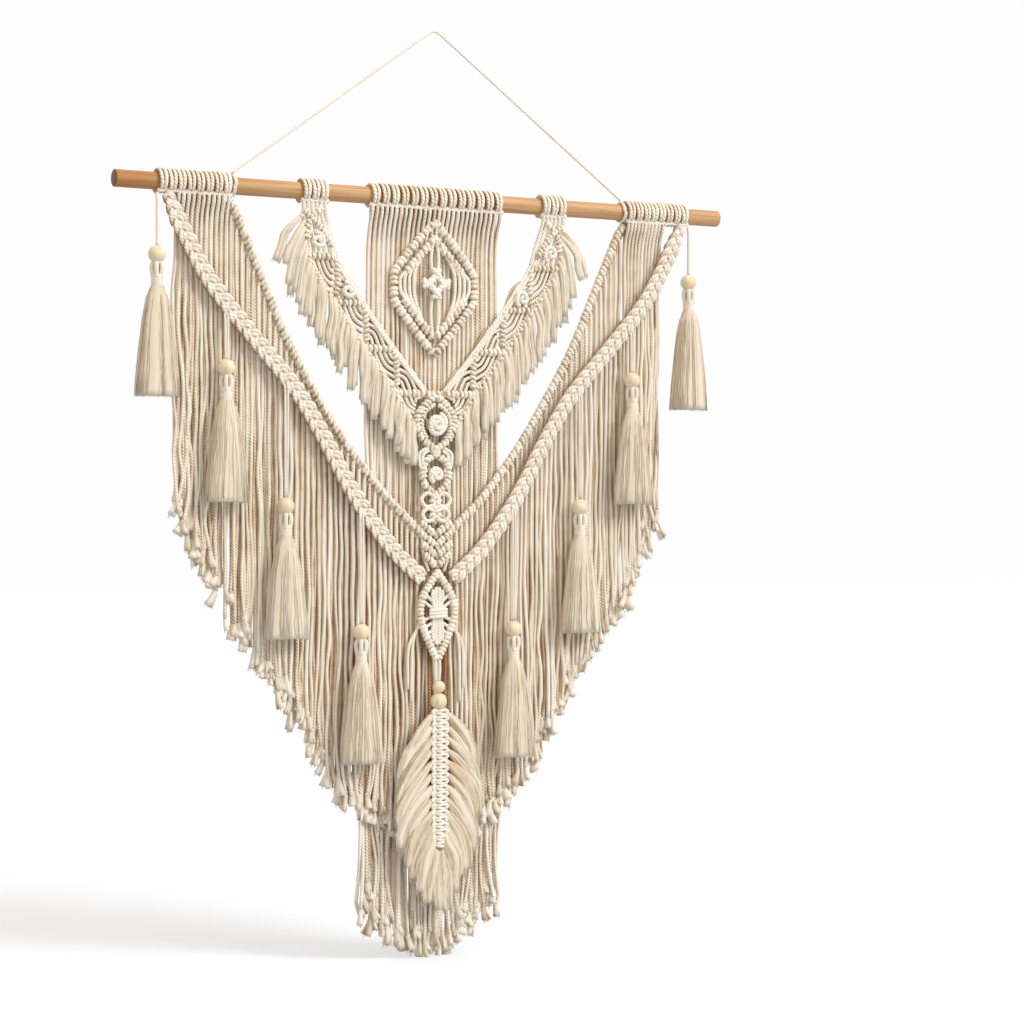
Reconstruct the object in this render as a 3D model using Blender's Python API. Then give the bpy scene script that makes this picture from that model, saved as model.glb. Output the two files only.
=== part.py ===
"""Macrame wall hanging on a wooden dowel.

The work hangs from the top of a cord tied to the dowel.  That top is the
origin: X runs along the dowel, -Y faces the room and +Z is up.

Every size below is in millimetres.  Each z in the tables is measured from
the dowel's axis, and each x is measured outwards from the middle of the
work, so that one table serves the left side and the right side.
"""

import math
from typing import NamedTuple

import bmesh
import bpy
from mathutils import Vector

MM = 0.001
FLAT_ANGLE = math.radians(1.5)

# --- driving sizes ---------------------------------------------------------
DOWEL_LENGTH = 800.0
DOWEL_RADIUS = 10.0
DOWEL_SIDES = 24
DOWEL_EDGE = 0.8
HANG_DROP = 199.0           # top of the hanging cord to the dowel's axis

CLEARANCE = 0.35            # gap between pieces that touch
HANGING_CORD_RADIUS = 1.5
TIE_RADIUS = 13.6
TIE_SPAN = (255.5, 261.5)

# --- lark's head knots over the dowel --------------------------------------
SLEEVE_SIDES = 8
SLEEVE_BORE = (DOWEL_RADIUS + CLEARANCE) / math.cos(math.pi / SLEEVE_SIDES)
KNOT_CREST = 15.0           # from the dowel's axis
KNOT_VALLEY = 13.7
BIGHT_SIDES = (4, 5)        # corners of the sleeve that carry the knots' bar
BIGHT_BULGE = 1.13
STRAND_SIDE = 5             # lower side of the sleeve, where strands leave
BAND_CEILING = -12.2        # the slanting bands start inside the knots' wall
CENTRE_END = 87.5
WING_SPAN = (262.5, 350.5)
TAB_SPAN = (142.0, 175.0)
TAB_KNOTS = 3

# --- layers from the wall to the room --------------------------------------
PANEL_Y = 4.0
PANEL_LEAN = 5.0            # the free ends drift this far towards the wall
WING_Y = 2.0
WING_FRONT_Y = -3.2         # where the wings pass in front of the panel
WING_STEP = (96.0, 126.0)   # the wings come forward between these
BAND_FORWARD = -1.2
GARLAND_Y = -3.6
COLUMN_Y = -6.0
COLUMN_FOOT_Y = -9.0
PENDANT_Y = -12.0
FEATHER_Y = -16.5
BRAID_Y = -9.4
BRAID_FRONT_Y = -12.4

# --- strands ---------------------------------------------------------------
STRAND_DEPTH = 4.4
STRAND_TAPER = 0.8          # a strand's free end to its root
PANEL_BEND_Z = -26.0        # here a panel strand turns from its knot to hang
PANEL_STRANDS = 22
PANEL_STRAND_WIDTH = 5.8
PANEL_EDGE = 83.0
WING_OUTER = 345.0          # the outermost knot, which carries a tassel
WING_PITCH = 10.5
WING_KNOTS = 8              # over the dowel, outside each slanting band
BAND_STRANDS = 24
WING_STRAND_WIDTH = 7.2
WING_BEND = 16.0            # same turn of a wing strand, below its root
RAGGED = 5.0                # free ends differ by this much

# --- half-hitch bars -------------------------------------------------------
BAR_SIDES = 5
BAR_WIDTH = 8.0
BAR_DEPTH = 8.0
CHAIN_WIDTH = 7.0
MOTIF_FORWARD = -4.4        # the diamond's bars from the panel's strands
MOTIF_RIDGES = 7
CROSSING = 0.45             # two bars that cross lie this much apart
BAND_WIDTH = 11.0
BAND_DEPTH = 9.0
BRAID_WIDTH = 24.0
BRAID_DEPTH = 9.6
BRAID_LOBES = 16
BRAID_SWAY = 1.6            # lobes lie this far left and right of its middle
FAN_CORD = 3.6
FAN_CORDS = 2
EDGE_CORD = (2.4, 2.6)      # half width and half depth

# --- beads, tassels and the feather ----------------------------------------
BEAD_RADIUS = 10.0
SMALL_BEAD_RADIUS = 7.6
BEAD_BORE = 3.0
BEAD_SIDES = 9
BEAD_STEPS = 4
THREAD_WIDTH = 3.8          # two cords side by side through a bead
THREAD_DEPTH = 2.4
TASSEL_LENGTH = 152.0       # bead's middle to the tassel's free end
TASSEL_LOCKS = 7
SKIRT_HALF_WIDTH = 24.5
SKIRT_HALF_DEPTH = 13.0
SKIRT_THICKNESS = 5.0
SKIRT_STAGES = ((0.42, 0.80), (1.0, 1.0))   # share of the drop, share of size
LOCK_SHARE = 0.86           # of its room round the skirt that a lock fills
FRINGE_LOCKS = 18
FRINGE_LOCK_WIDTH = 8.0
FRINGE_PATH_LIFT = 5.6      # strip's middle line from the chain's
FRINGE_STRIP = ((-1.5, -2.0), (1.5, -2.0), (1.5, 2.0), (-1.5, 2.0))
FRINGE_FORWARD = -0.6
FRINGE_REACH = (58.0, 68.0)
FRINGE_LAST_REACH = 54.0    # the locks beside the column are shorter
FRINGE_LAST_SHARE = 0.88
FEATHER_LOCKS = 11
SPINE_END = -768.0
FEATHER_TIP = -832.0
FEATHER_HALF_WIDTH = 53.0
FEATHER_FIRST_TIP = -676.0
SPINE_WIDTH = 14.0
SPINE_DEPTH = 9.0

COTTON = (0.82, 0.74, 0.62)
COTTON_LIGHT = (0.87, 0.80, 0.68)
DOWEL_BROWN = (0.60, 0.34, 0.17)
BEAD_STRAW = (0.80, 0.64, 0.42)


class Spot(NamedTuple):
    """A point of a line in the hanging's own plane."""

    x: float
    z: float


class Row(NamedTuple):
    """One section of a swept solid."""

    x: float
    y: float
    z: float
    half_width: float
    half_depth: float


class Tassel(NamedTuple):
    """Where a tassel's bead hangs, and how far out its skirt stands."""

    x: float
    bead_z: float
    bead_y: float
    skirt_y: float


class Step(NamedTuple):
    """One step of the garland: a level bar from its outer to its inner end."""

    outer: float
    inner: float
    z: float


BAND_PATH = (
    Spot(266, -15.5), Spot(255, -27), Spot(244, -50), Spot(217, -110),
    Spot(190, -170), Spot(155, -230), Spot(115, -290), Spot(66, -350),
    Spot(17.5, -397),
)
BRAID_PATH = (
    Spot(337, -20.9), Spot(323, -50), Spot(288, -110), Spot(236, -170),
    Spot(182, -230), Spot(143, -290), Spot(108, -350), Spot(62, -410),
    Spot(22, -447),
)
WING_FALL = (
    Spot(333, -365), Spot(300, -412), Spot(280, -448), Spot(258, -500),
    Spot(236, -520), Spot(210, -560), Spot(160, -638), Spot(112, -707),
    Spot(60, -742), Spot(0, -760),
)
PANEL_FALL = (Spot(92, -822), Spot(70, -845), Spot(35, -872), Spot(0, -890))

OUTER_DIAMOND = (Spot(-3, -26), Spot(55, -90), Spot(55, -112), Spot(-3, -187))
INNER_DIAMOND = (Spot(-3, -44), Spot(44, -93), Spot(44, -109), Spot(-3, -171))
FLOWER_CENTRE = Spot(0, -99)
FLOWER_REACH = 11.0
FLOWER_LOBE = 8.0

GARLAND_STEPS = (
    Step(164, 129, -75), Step(130, 94, -127), Step(91, 54, -179),
    Step(51, 11, -230),
)
GARLAND_KNOT_FEET = (Spot(168, -13), Spot(149, -13))
GARLAND_START = Spot(171, -24)
GARLAND_INNER_START = Spot(147, -18)
GARLAND_END = Spot(28, -266)

COLUMN_PATH = (
    Spot(2, -233), Spot(23, -268), Spot(-2, -302), Spot(15, -334),
    Spot(-2, -350), Spot(12, -362), Spot(-2, -378), Spot(9, -392),
    Spot(2, -408),
)
ROSE_CENTRE = Spot(0, -268)
ROSE_RADIUS = 15.0
WOVEN_CENTRE = Spot(0, -333)
WOVEN_REACH = 9.0
COLUMN_TOP = -231.0         # height of the bar where the garlands meet
COLUMN_JOIN = -402.0        # top of the knotted foot
COLUMN_END = -441.5
PENDANT_PATH = (Spot(-3, -444.1), Spot(26, -478), Spot(26, -494),
                Spot(-3, -537))
PENDANT_WRAP_Z = -488.0
PENDANT_WRAP_HALF = 25.0
LOOP_SEAT = 1.8             # pendant's lowest point, under its path's end
SMALL_BEAD_Z = -575.5
SMALL_BEAD_RISE = math.sqrt(SMALL_BEAD_RADIUS ** 2 - BEAD_BORE ** 2)
BEAD_RISE = math.sqrt(BEAD_RADIUS ** 2 - BEAD_BORE ** 2)
LARGE_BEAD_Z = SMALL_BEAD_Z - SMALL_BEAD_RISE - BEAD_RISE - CLEARANCE
FEATHER_TOP = LARGE_BEAD_Z - BEAD_RISE - CLEARANCE

TASSELS = (
    Tassel(352, -83, -9.5, -10.5),
    Tassel(269, -207, -11.6, -14.0),
    Tassel(195, -363, -12.0, -14.0),
    Tassel(101, -509, -15.8, -19.0),
)

# the tassel's knotted head: radius and height below the bead's middle
HEAD_PROFILE = (
    (4.0, -10.4), (9.4, -14.0), (10.2, -22.0), (7.8, -30.5), (8.2, -42.0),
    (6.2, -46.0),
)

# route of the hanging cord, seen from the front, mirrored at x = 0
HANGING_ROUTE = (
    Spot(-258.5, 14.1), Spot(-246, 23.7), Spot(-205, 53.3),
    Spot(-160, 85.8), Spot(-115, 118.4), Spot(-70, 151.0),
    Spot(-35, 176.3), Spot(-14, 191.4), Spot(-5, 197.4), Spot(0, HANG_DROP),
)
CORD_SMOOTHING = 2
CORD_RESOLUTION = 2


# --- small helpers ---------------------------------------------------------
def clear_scene():
    """Remove every object of the start-up scene."""
    for thing in list(bpy.data.objects):
        bpy.data.objects.remove(thing, do_unlink=True)


def make_material(name, colour, roughness):
    """Return a plain matt material for one kind of stuff."""
    material = bpy.data.materials.new(name)
    material.use_nodes = True
    shader = material.node_tree.nodes["Principled BSDF"]
    shader.inputs["Base Color"].default_value = (*colour, 1.0)
    shader.inputs["Roughness"].default_value = roughness
    shader.inputs["Metallic"].default_value = 0.0
    return material


def blend(low, high, share):
    """Return the value a share of the way from low to high."""
    return low + (high - low) * share


def height_at(path, x):
    """Return the height of a line, read at a distance from the middle."""
    spots = sorted(path)
    for near, far in zip(spots, spots[1:]):
        if near.x <= x <= far.x:
            return blend(near.z, far.z, (x - near.x) / max(far.x - near.x, 1e-6))
    return spots[0].z if x < spots[0].x else spots[-1].z


def resample(path, count):
    """Return count spots spread evenly along a line of spots."""
    lengths = [0.0]
    for start, end in zip(path, path[1:]):
        lengths.append(lengths[-1] + math.dist(start, end))
    spots = []
    for index in range(count):
        goal = lengths[-1] * index / (count - 1)
        leg = max(i for i in range(len(path) - 1) if lengths[i] <= goal + 1e-9)
        share = (goal - lengths[leg]) / (lengths[leg + 1] - lengths[leg])
        share = min(share, 1.0)
        spots.append(Spot(blend(path[leg].x, path[leg + 1].x, share),
                          blend(path[leg].z, path[leg + 1].z, share)))
    return spots


def smooth_line(points, steps):
    """Return points on a Catmull-Rom curve through the given vectors."""
    ends = [points[0] * 2 - points[1], *points, points[-1] * 2 - points[-2]]
    line = []
    for a, b, c, d in zip(ends, ends[1:], ends[2:], ends[3:]):
        for step in range(steps):
            t = step / steps
            line.append(0.5 * (b * 2 + (c - a) * t
                               + (a * 2 - b * 5 + c * 4 - d) * t ** 2
                               + (b * 3 - a - c * 3 + d) * t ** 3))
    line.append(points[-1].copy())
    return line


def wing_y(x):
    """Return how far forward the wings hang at a distance from the middle."""
    near, far = WING_STEP
    share = min(max((x - near) / (far - near), 0.0), 1.0)
    return blend(WING_FRONT_Y, WING_Y, share)


def braid_y(x):
    """Return how far forward the braid lies at a distance from the middle."""
    near, far = WING_STEP
    share = min(max((x - near) / (far - near), 0.0), 1.0)
    return blend(BRAID_FRONT_Y, BRAID_Y, share)


# --- solids ----------------------------------------------------------------
def bridge(mesh, rings, closed_path=False, ends=(True, True)):
    """Join rings of vertices to a tube, closed on itself or at its ends."""
    count = len(rings[0])
    pairs = list(zip(rings, rings[1:]))
    if closed_path:
        pairs.append((rings[-1], rings[0]))
    for lower, upper in pairs:
        for i in range(count):
            j = (i + 1) % count
            mesh.faces.new((lower[i], lower[j], upper[j], upper[i]))
    if ends[0] and not closed_path:
        mesh.faces.new(list(reversed(rings[0])))
    if ends[1] and not closed_path:
        mesh.faces.new(rings[-1])


def swept(rows, sides, turn=0.0):
    """Return a closed solid swept through rows of sections."""
    mesh = bmesh.new()
    centres = [Vector((row.x, row.y, row.z)) for row in rows]
    rings = []
    for index, row in enumerate(rows):
        before = centres[max(index - 1, 0)]
        after = centres[min(index + 1, len(rows) - 1)]
        along = (after - before).normalized()
        across = along.cross(Vector((0.0, 1.0, 0.0))).normalized()
        outward = across.cross(along)
        ring = []
        for side in range(sides):
            angle = turn + math.tau * side / sides
            ring.append(mesh.verts.new(
                centres[index]
                + across * (row.half_width * math.cos(angle))
                + outward * (row.half_depth * math.sin(angle))))
        rings.append(ring)
    bridge(mesh, rings)
    bmesh.ops.recalc_face_normals(mesh, faces=mesh.faces)
    return mesh


def grow(mesh, root, rows):
    """Grow a four-sided strand out of the face that root's corners bound.

    The first and last corner lie towards one neighbour, and the first two
    lie on one ring of the backing.
    """
    lead = 1 if root[0].co.x + root[1].co.x > root[2].co.x + root[3].co.x else -1
    front = 1 if root[0].co.y > root[1].co.y else -1
    signs = ((lead, front), (lead, -front), (-lead, -front), (-lead, front))
    last = root
    for row in rows:
        ring = [mesh.verts.new((row.x + a * row.half_width,
                                row.y + b * row.half_depth, row.z))
                for a, b in signs]
        for i in range(4):
            j = (i + 1) % 4
            mesh.faces.new((last[i], last[j], ring[j], ring[i]))
        last = ring
    mesh.faces.new(last)


def comb(rings, slot, strands, fall_of, closed=False):
    """Return a backing whose every second stretch sprouts a strand.

    fall_of takes the strand's number and the middle of its root, and gives
    the strand's rows, or none where the backing has no strand.
    """
    mesh = bmesh.new()
    rings = [[mesh.verts.new(spot) for spot in ring] for ring in rings]
    count = len(rings[0])
    pairs = list(zip(rings, rings[1:]))
    if closed:
        pairs.append((rings[-1], rings[0]))
    for number, (lower, upper) in enumerate(pairs):
        for i in range(count):
            j = (i + 1) % count
            corners = (lower[i], lower[j], upper[j], upper[i])
            rows = ()
            if i == slot and number % 2 and number // 2 < strands:
                middle = sum((corner.co for corner in corners), Vector()) / 4
                rows = fall_of(number // 2, middle)
            if rows:
                grow(mesh, corners, rows)
            else:
                mesh.faces.new(corners)
    if not closed:
        mesh.faces.new(list(reversed(rings[0])))
        mesh.faces.new(rings[-1])
    bmesh.ops.recalc_face_normals(mesh, faces=mesh.faces)
    return mesh


def strand(rows):
    """Return a four-sided strand, its rows giving its half width and depth."""
    corner = math.sqrt(2.0)
    wide = [row._replace(half_width=row.half_width * corner,
                         half_depth=row.half_depth * corner) for row in rows]
    return swept(wide, 4, math.pi / 4)


def bar(path, side, y_of, width, depth, ridges, dip=0.8):
    """Return a ridged half-hitch bar along a line of spots."""
    rows = []
    for index, spot in enumerate(resample(path, 2 * ridges + 1)):
        scale = 1.0 if index % 2 else dip
        rows.append(Row(side * spot.x, y_of(abs(spot.x)), spot.z,
                        width / 2 * scale, depth / 2 * scale))
    return swept(rows, BAR_SIDES)


def turned(profile, sides, centre, axis="Z", closed=False):
    """Return a solid turned about an axis from (radius, height) pairs."""
    mesh = bmesh.new()
    rings = []
    for radius, height in profile:
        ring = []
        for side in range(sides):
            angle = math.tau * (side + 0.5) / sides
            a, b = radius * math.cos(angle), radius * math.sin(angle)
            spot = {"X": (height, a, b), "Y": (a, height, b),
                    "Z": (a, b, height)}[axis]
            ring.append(mesh.verts.new(Vector(spot) + Vector(centre)))
        rings.append(ring)
    bridge(mesh, rings, closed_path=closed)
    bmesh.ops.recalc_face_normals(mesh, faces=mesh.faces)
    return mesh


def knot_ring(x, radius, bulge=1.0):
    """Return one ring round the dowel, with the knots' bar at its front."""
    ring = []
    for side in range(SLEEVE_SIDES):
        angle = math.tau * (side + 0.5) / SLEEVE_SIDES
        reach = radius * (bulge if side in BIGHT_SIDES else 1.0)
        ring.append(Vector((x, reach * math.cos(angle),
                            reach * math.sin(angle))))
    return ring


def mounted_knots(centres, half, ends, fall_of):
    """Return a ridged sleeve of lark's head knots with its strands."""
    rings = [knot_ring(ends[0], KNOT_VALLEY)]
    for x in centres:
        radii = (KNOT_CREST, KNOT_VALLEY) if x < 0 else (KNOT_VALLEY, KNOT_CREST)
        rings.append(knot_ring(x - half, radii[0], BIGHT_BULGE))
        rings.append(knot_ring(x + half, radii[1], BIGHT_BULGE))
    rings.append(knot_ring(ends[1], KNOT_VALLEY))
    rings.append(knot_ring(ends[1], SLEEVE_BORE))
    rings.append(knot_ring(ends[0], SLEEVE_BORE))
    return comb(rings, STRAND_SIDE, len(centres), fall_of, closed=True)


def to_object(mesh, name):
    """Return a Blender object for a solid, in metres below the hang point."""
    for vertex in mesh.verts:
        vertex.co.z -= HANG_DROP
        vertex.co *= MM
    data = bpy.data.meshes.new(name)
    mesh.to_mesh(data)
    mesh.free()
    thing = bpy.data.objects.new(name, data)
    bpy.context.scene.collection.objects.link(thing)
    return thing


def tidy_faces(data):
    """Join the faces that a union splits although they lie in one plane."""
    mesh = bmesh.new()
    mesh.from_mesh(data)
    bmesh.ops.dissolve_limit(mesh, angle_limit=FLAT_ANGLE, verts=mesh.verts,
                             edges=mesh.edges)
    mesh.to_mesh(data)
    mesh.free()


def merged(name, solids, material):
    """Return one named body, the Boolean union of overlapping solids."""
    body = to_object(solids[0], name)
    if len(solids) > 1:
        gathered = bmesh.new()
        for solid in solids[1:]:
            scratch = bpy.data.meshes.new("scratch")
            solid.to_mesh(scratch)
            solid.free()
            gathered.from_mesh(scratch)
            bpy.data.meshes.remove(scratch)
        tool = to_object(gathered, name + "_added")
        union = body.modifiers.new("union", "BOOLEAN")
        union.operation = "UNION"
        union.solver = "EXACT"
        union.use_self = True
        union.object = tool
        graph = bpy.context.evaluated_depsgraph_get()
        joined = bpy.data.meshes.new_from_object(body.evaluated_get(graph))
        body.modifiers.clear()
        body.data = joined
        tidy_faces(joined)
        bpy.data.objects.remove(tool, do_unlink=True)
    body.data.name = name
    body.data.materials.clear()
    body.data.materials.append(material)
    return body


# --- the dowel and the cord that carries it --------------------------------
def build_dowel(wood):
    """Make the round dowel with softened ends."""
    half = DOWEL_LENGTH / 2
    edge = DOWEL_EDGE
    profile = ((DOWEL_RADIUS - edge, -half), (DOWEL_RADIUS, -half + edge),
               (DOWEL_RADIUS, half - edge), (DOWEL_RADIUS - edge, half))
    return merged("dowel", [turned(profile, DOWEL_SIDES, (0, 0, 0), "X")], wood)


def build_tie(name, side, cotton):
    """Make the turn of cord that ties the hanging cord to the dowel."""
    low, high = sorted((side * TIE_SPAN[0], side * TIE_SPAN[1]))
    middle = (low + high) / 2
    profile = ((TIE_RADIUS - 0.8, low), (TIE_RADIUS, middle),
               (TIE_RADIUS - 0.8, high), (SLEEVE_BORE, high),
               (SLEEVE_BORE, low))
    return merged(name, [turned(profile, SLEEVE_SIDES, (0, 0, 0), "X", True)],
                  cotton)


def build_hanging_cord(cotton):
    """Make the thin cord from tie to tie, over the hanging point."""
    left = [Vector((spot.x, 0.0, spot.z - HANG_DROP)) for spot in HANGING_ROUTE]
    right = [Vector((-point.x, 0.0, point.z)) for point in left[-2::-1]]
    points = smooth_line(left + right, CORD_SMOOTHING)
    curve = bpy.data.curves.new("hanging_cord", "CURVE")
    curve.dimensions = "3D"
    curve.bevel_depth = HANGING_CORD_RADIUS * MM
    curve.bevel_resolution = CORD_RESOLUTION
    curve.use_fill_caps = True
    spline = curve.splines.new("POLY")
    spline.points.add(len(points) - 1)
    for slot, point in zip(spline.points, points):
        slot.co = (*(point * MM), 1.0)
    curve.materials.append(cotton)
    cord = bpy.data.objects.new("hanging_cord", curve)
    bpy.context.scene.collection.objects.link(cord)
    return cord


# --- centre panel ----------------------------------------------------------
def panel_fall(index, root):
    """Return the rows of one long strand of the centre panel."""
    end = height_at(PANEL_FALL, abs(root.x)) + RAGGED * math.sin(index * 2.4)
    half, deep = PANEL_STRAND_WIDTH / 2, STRAND_DEPTH / 2
    return (Row(root.x, PANEL_Y, PANEL_BEND_Z, half, deep),
            Row(root.x * 1.04 + 0.5 * math.sin(index * 1.7),
                PANEL_Y + PANEL_LEAN, end, half * STRAND_TAPER,
                deep * STRAND_TAPER))


def diamond_motif():
    """Return the double diamond of half-hitch bars and its flower knot."""
    lies_at = PANEL_Y + MOTIF_FORWARD
    solids = []
    for side in (-1, 1):
        for outline in (OUTER_DIAMOND, INNER_DIAMOND):
            solids.append(bar(outline, side, lambda _x: lies_at + side * CROSSING,
                              BAR_WIDTH, BAR_DEPTH, MOTIF_RIDGES))
    for quarter in range(4):
        angle = math.tau * quarter / 4
        centre = (FLOWER_CENTRE.x + FLOWER_REACH * math.sin(angle), lies_at,
                  FLOWER_CENTRE.z + FLOWER_REACH * math.cos(angle))
        solids.append(turned(((3.0, -FLOWER_LOBE), (FLOWER_LOBE, -3.0),
                              (FLOWER_LOBE, 3.0), (3.0, FLOWER_LOBE)),
                             6, centre))
    return solids


def build_centre_panel(cotton):
    """Make the centre panel: knots, long strands and diamond."""
    centres = [blend(-PANEL_EDGE, PANEL_EDGE, index / (PANEL_STRANDS - 1))
               for index in range(PANEL_STRANDS)]
    solids = [mounted_knots(centres, PANEL_STRAND_WIDTH / 2,
                            (-CENTRE_END, CENTRE_END), panel_fall)]
    solids += diamond_motif()
    return merged("centre_panel", solids, cotton)


# --- wings -----------------------------------------------------------------
def wing_fall(index, root):
    """Return the rows of one hanging strand of a wing."""
    reach = abs(root.x)
    half, deep = WING_STRAND_WIDTH / 2, STRAND_DEPTH / 2
    end = height_at(WING_FALL, reach) + RAGGED * math.sin(index * 2.1)
    y = wing_y(reach)
    return (Row(root.x, y, root.z - WING_BEND, half, deep),
            Row(root.x, y + 1.5, end, half * STRAND_TAPER,
                deep * STRAND_TAPER))


def thread(x, y, top, end, top_y):
    """Return the flat pair of cords that a bead and tassel hang on."""
    half, deep = THREAD_WIDTH / 2, THREAD_DEPTH / 2
    return strand([Row(x, top_y, top, half, deep),
                   Row(x, y, blend(top, end, 0.4), half, deep),
                   Row(x, y, end, half, deep)])


def thread_end(tassel):
    """Return the height where a tassel's cords stop, just over its head."""
    return tassel.bead_z + HEAD_PROFILE[0][1] + CLEARANCE


def wing_knots(side):
    """Return a wing's knots, its outer strands and the first tassel's cord."""
    tassel = TASSELS[0]

    def fall_of(index, root):
        number = index if side < 0 else WING_KNOTS - 1 - index
        if number:
            return wing_fall(number, root)
        half, deep = THREAD_WIDTH / 2, THREAD_DEPTH / 2
        x = side * tassel.x
        return (Row(blend(root.x, x, 0.6), tassel.bead_y, -30.0, half, deep),
                Row(x, tassel.bead_y, -62.0, half, deep),
                Row(x, tassel.bead_y, thread_end(tassel), half, deep))

    centres = sorted(side * (WING_OUTER - WING_PITCH * index)
                     for index in range(WING_KNOTS))
    ends = sorted((side * WING_SPAN[0], side * WING_SPAN[1]))
    return mounted_knots(centres, WING_STRAND_WIDTH / 2, ends, fall_of)


def slanting_band(side):
    """Return the slanting band with one ridge and strand for each knot."""
    rings = []
    spots = resample(BAND_PATH, 2 * BAND_STRANDS + 2)
    for index, spot in enumerate(spots):
        before = spots[max(index - 1, 0)]
        after = spots[min(index + 1, len(spots) - 1)]
        along = Vector((after.x - before.x, 0.0, after.z - before.z)).normalized()
        down = Vector((along.z, 0.0, -along.x))
        down = down if down.z < 0 else -down
        y = wing_y(spot.x) + BAND_FORWARD
        half = BAND_WIDTH / 2 * (1.0 if index % 2 else 0.86)
        half = min(half, max(BAND_CEILING - spot.z, 1.0))
        deep = BAND_DEPTH / 2 * (1.0 if index % 2 else 0.84)
        root = STRAND_DEPTH / 2
        ring = []
        for out, forward in ((-0.9, 0.0), (0.0, -deep), (1.0, -root),
                             (1.0, root), (0.0, deep)):
            place = Vector((spot.x, y + forward, spot.z)) + down * half * out
            ring.append(Vector((side * place.x, place.y, place.z)))
        rings.append(ring)
    return comb(rings, 2, BAND_STRANDS, wing_fall)


def build_wing(name, side, cotton):
    """Make one wing: knots, slanting band and hanging strands."""
    return merged(name, [wing_knots(side), slanting_band(side)], cotton)


def build_braid(name, side, cotton):
    """Make one flat braid and the cords of the three tassels on it."""
    rows = []
    for index, spot in enumerate(resample(BRAID_PATH, 2 * BRAID_LOBES + 1)):
        lean = BRAID_SWAY if (index // 2) % 2 else -BRAID_SWAY
        full = 1.0 if index % 2 else 0.88
        rows.append(Row(side * (spot.x + lean * (index % 2)), braid_y(spot.x),
                        spot.z, BRAID_WIDTH / 2 * full,
                        BRAID_DEPTH / 2 * full))
    solids = [swept(rows, BAR_SIDES)]
    for tassel in TASSELS[1:]:
        top = height_at(BRAID_PATH, tassel.x)
        solids.append(thread(side * tassel.x, tassel.bead_y, top,
                             thread_end(tassel), braid_y(tassel.x)))
    return merged(name, solids, cotton)


# --- garland ---------------------------------------------------------------
def fan(side, first, second, bulge):
    """Return the curved cords between two bars that meet at a corner.

    Each bar is a pair of spots that starts at the shared corner.
    """
    cords = []
    for index in range(FAN_CORDS):
        share = (index + 1) / (FAN_CORDS + 0.6)
        start = Spot(blend(first[0].x, first[1].x, share),
                     blend(first[0].z, first[1].z, share))
        end = Spot(blend(second[0].x, second[1].x, share),
                   blend(second[0].z, second[1].z, share))
        middle = Spot((start.x + end.x) / 2 + bulge.x * share,
                      (start.z + end.z) / 2 + bulge.z * share)
        half = FAN_CORD / 2
        cords.append(strand([
            Row(side * spot.x, GARLAND_Y - 0.4, spot.z, half, half)
            for spot in (start, middle, end)]))
    return cords


def outer_chain():
    """Return the slanting line that the garland's fringe hangs from."""
    ends = [Spot(step.outer, step.z) for step in GARLAND_STEPS]
    return (GARLAND_START, *ends, GARLAND_END)


def build_garland(name, side, cotton):
    """Make one arm of the garland: knots, stair-step bars and cord fans."""
    def flat(_x):
        return GARLAND_Y

    chain = outer_chain()
    low, high = sorted((side * TAB_SPAN[0], side * TAB_SPAN[1]))
    centres = [blend(low, high, (index + 0.5) / TAB_KNOTS)
               for index in range(TAB_KNOTS)]
    solids = [mounted_knots(centres, (high - low) / TAB_KNOTS / 4, (low, high),
                            lambda _index, _root: ())]
    solids.append(bar((GARLAND_KNOT_FEET[0], *chain), side, flat, CHAIN_WIDTH,
                      BAR_DEPTH, 10))
    edge = [GARLAND_KNOT_FEET[1], GARLAND_INNER_START]
    edge += [Spot(step.inner, step.z) for step in GARLAND_STEPS]
    inner_rows = [Row(side * spot.x, GARLAND_Y, spot.z, *EDGE_CORD)
                  for spot in edge]
    solids.append(swept(inner_rows, 5))
    for step in GARLAND_STEPS:
        level = (Spot(step.outer + 0.6, step.z), Spot(step.inner - 0.8, step.z))
        solids.append(bar(level, side, flat, BAR_WIDTH, BAR_DEPTH, 2))
    for step, below in zip(GARLAND_STEPS, GARLAND_STEPS[1:]):
        corner = Spot(step.inner, step.z)
        foot = Spot(below.outer, below.z)
        upright = (Spot(corner.x - 1.0, corner.z + 1.3),
                   Spot(foot.x + 0.7, foot.z - 1.1))
        solids.append(bar(upright, side, lambda _x: GARLAND_Y - CROSSING,
                          BAR_WIDTH - 0.7, BAR_DEPTH, 2))
        solids += fan(side, (corner, Spot(step.outer, step.z)),
                      (corner, foot), Spot(2.0, -7.0))
        solids += fan(side, (foot, corner),
                      (foot, Spot(below.inner, below.z)), Spot(-3.0, 6.0))
    return merged(name, solids, cotton)


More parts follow.
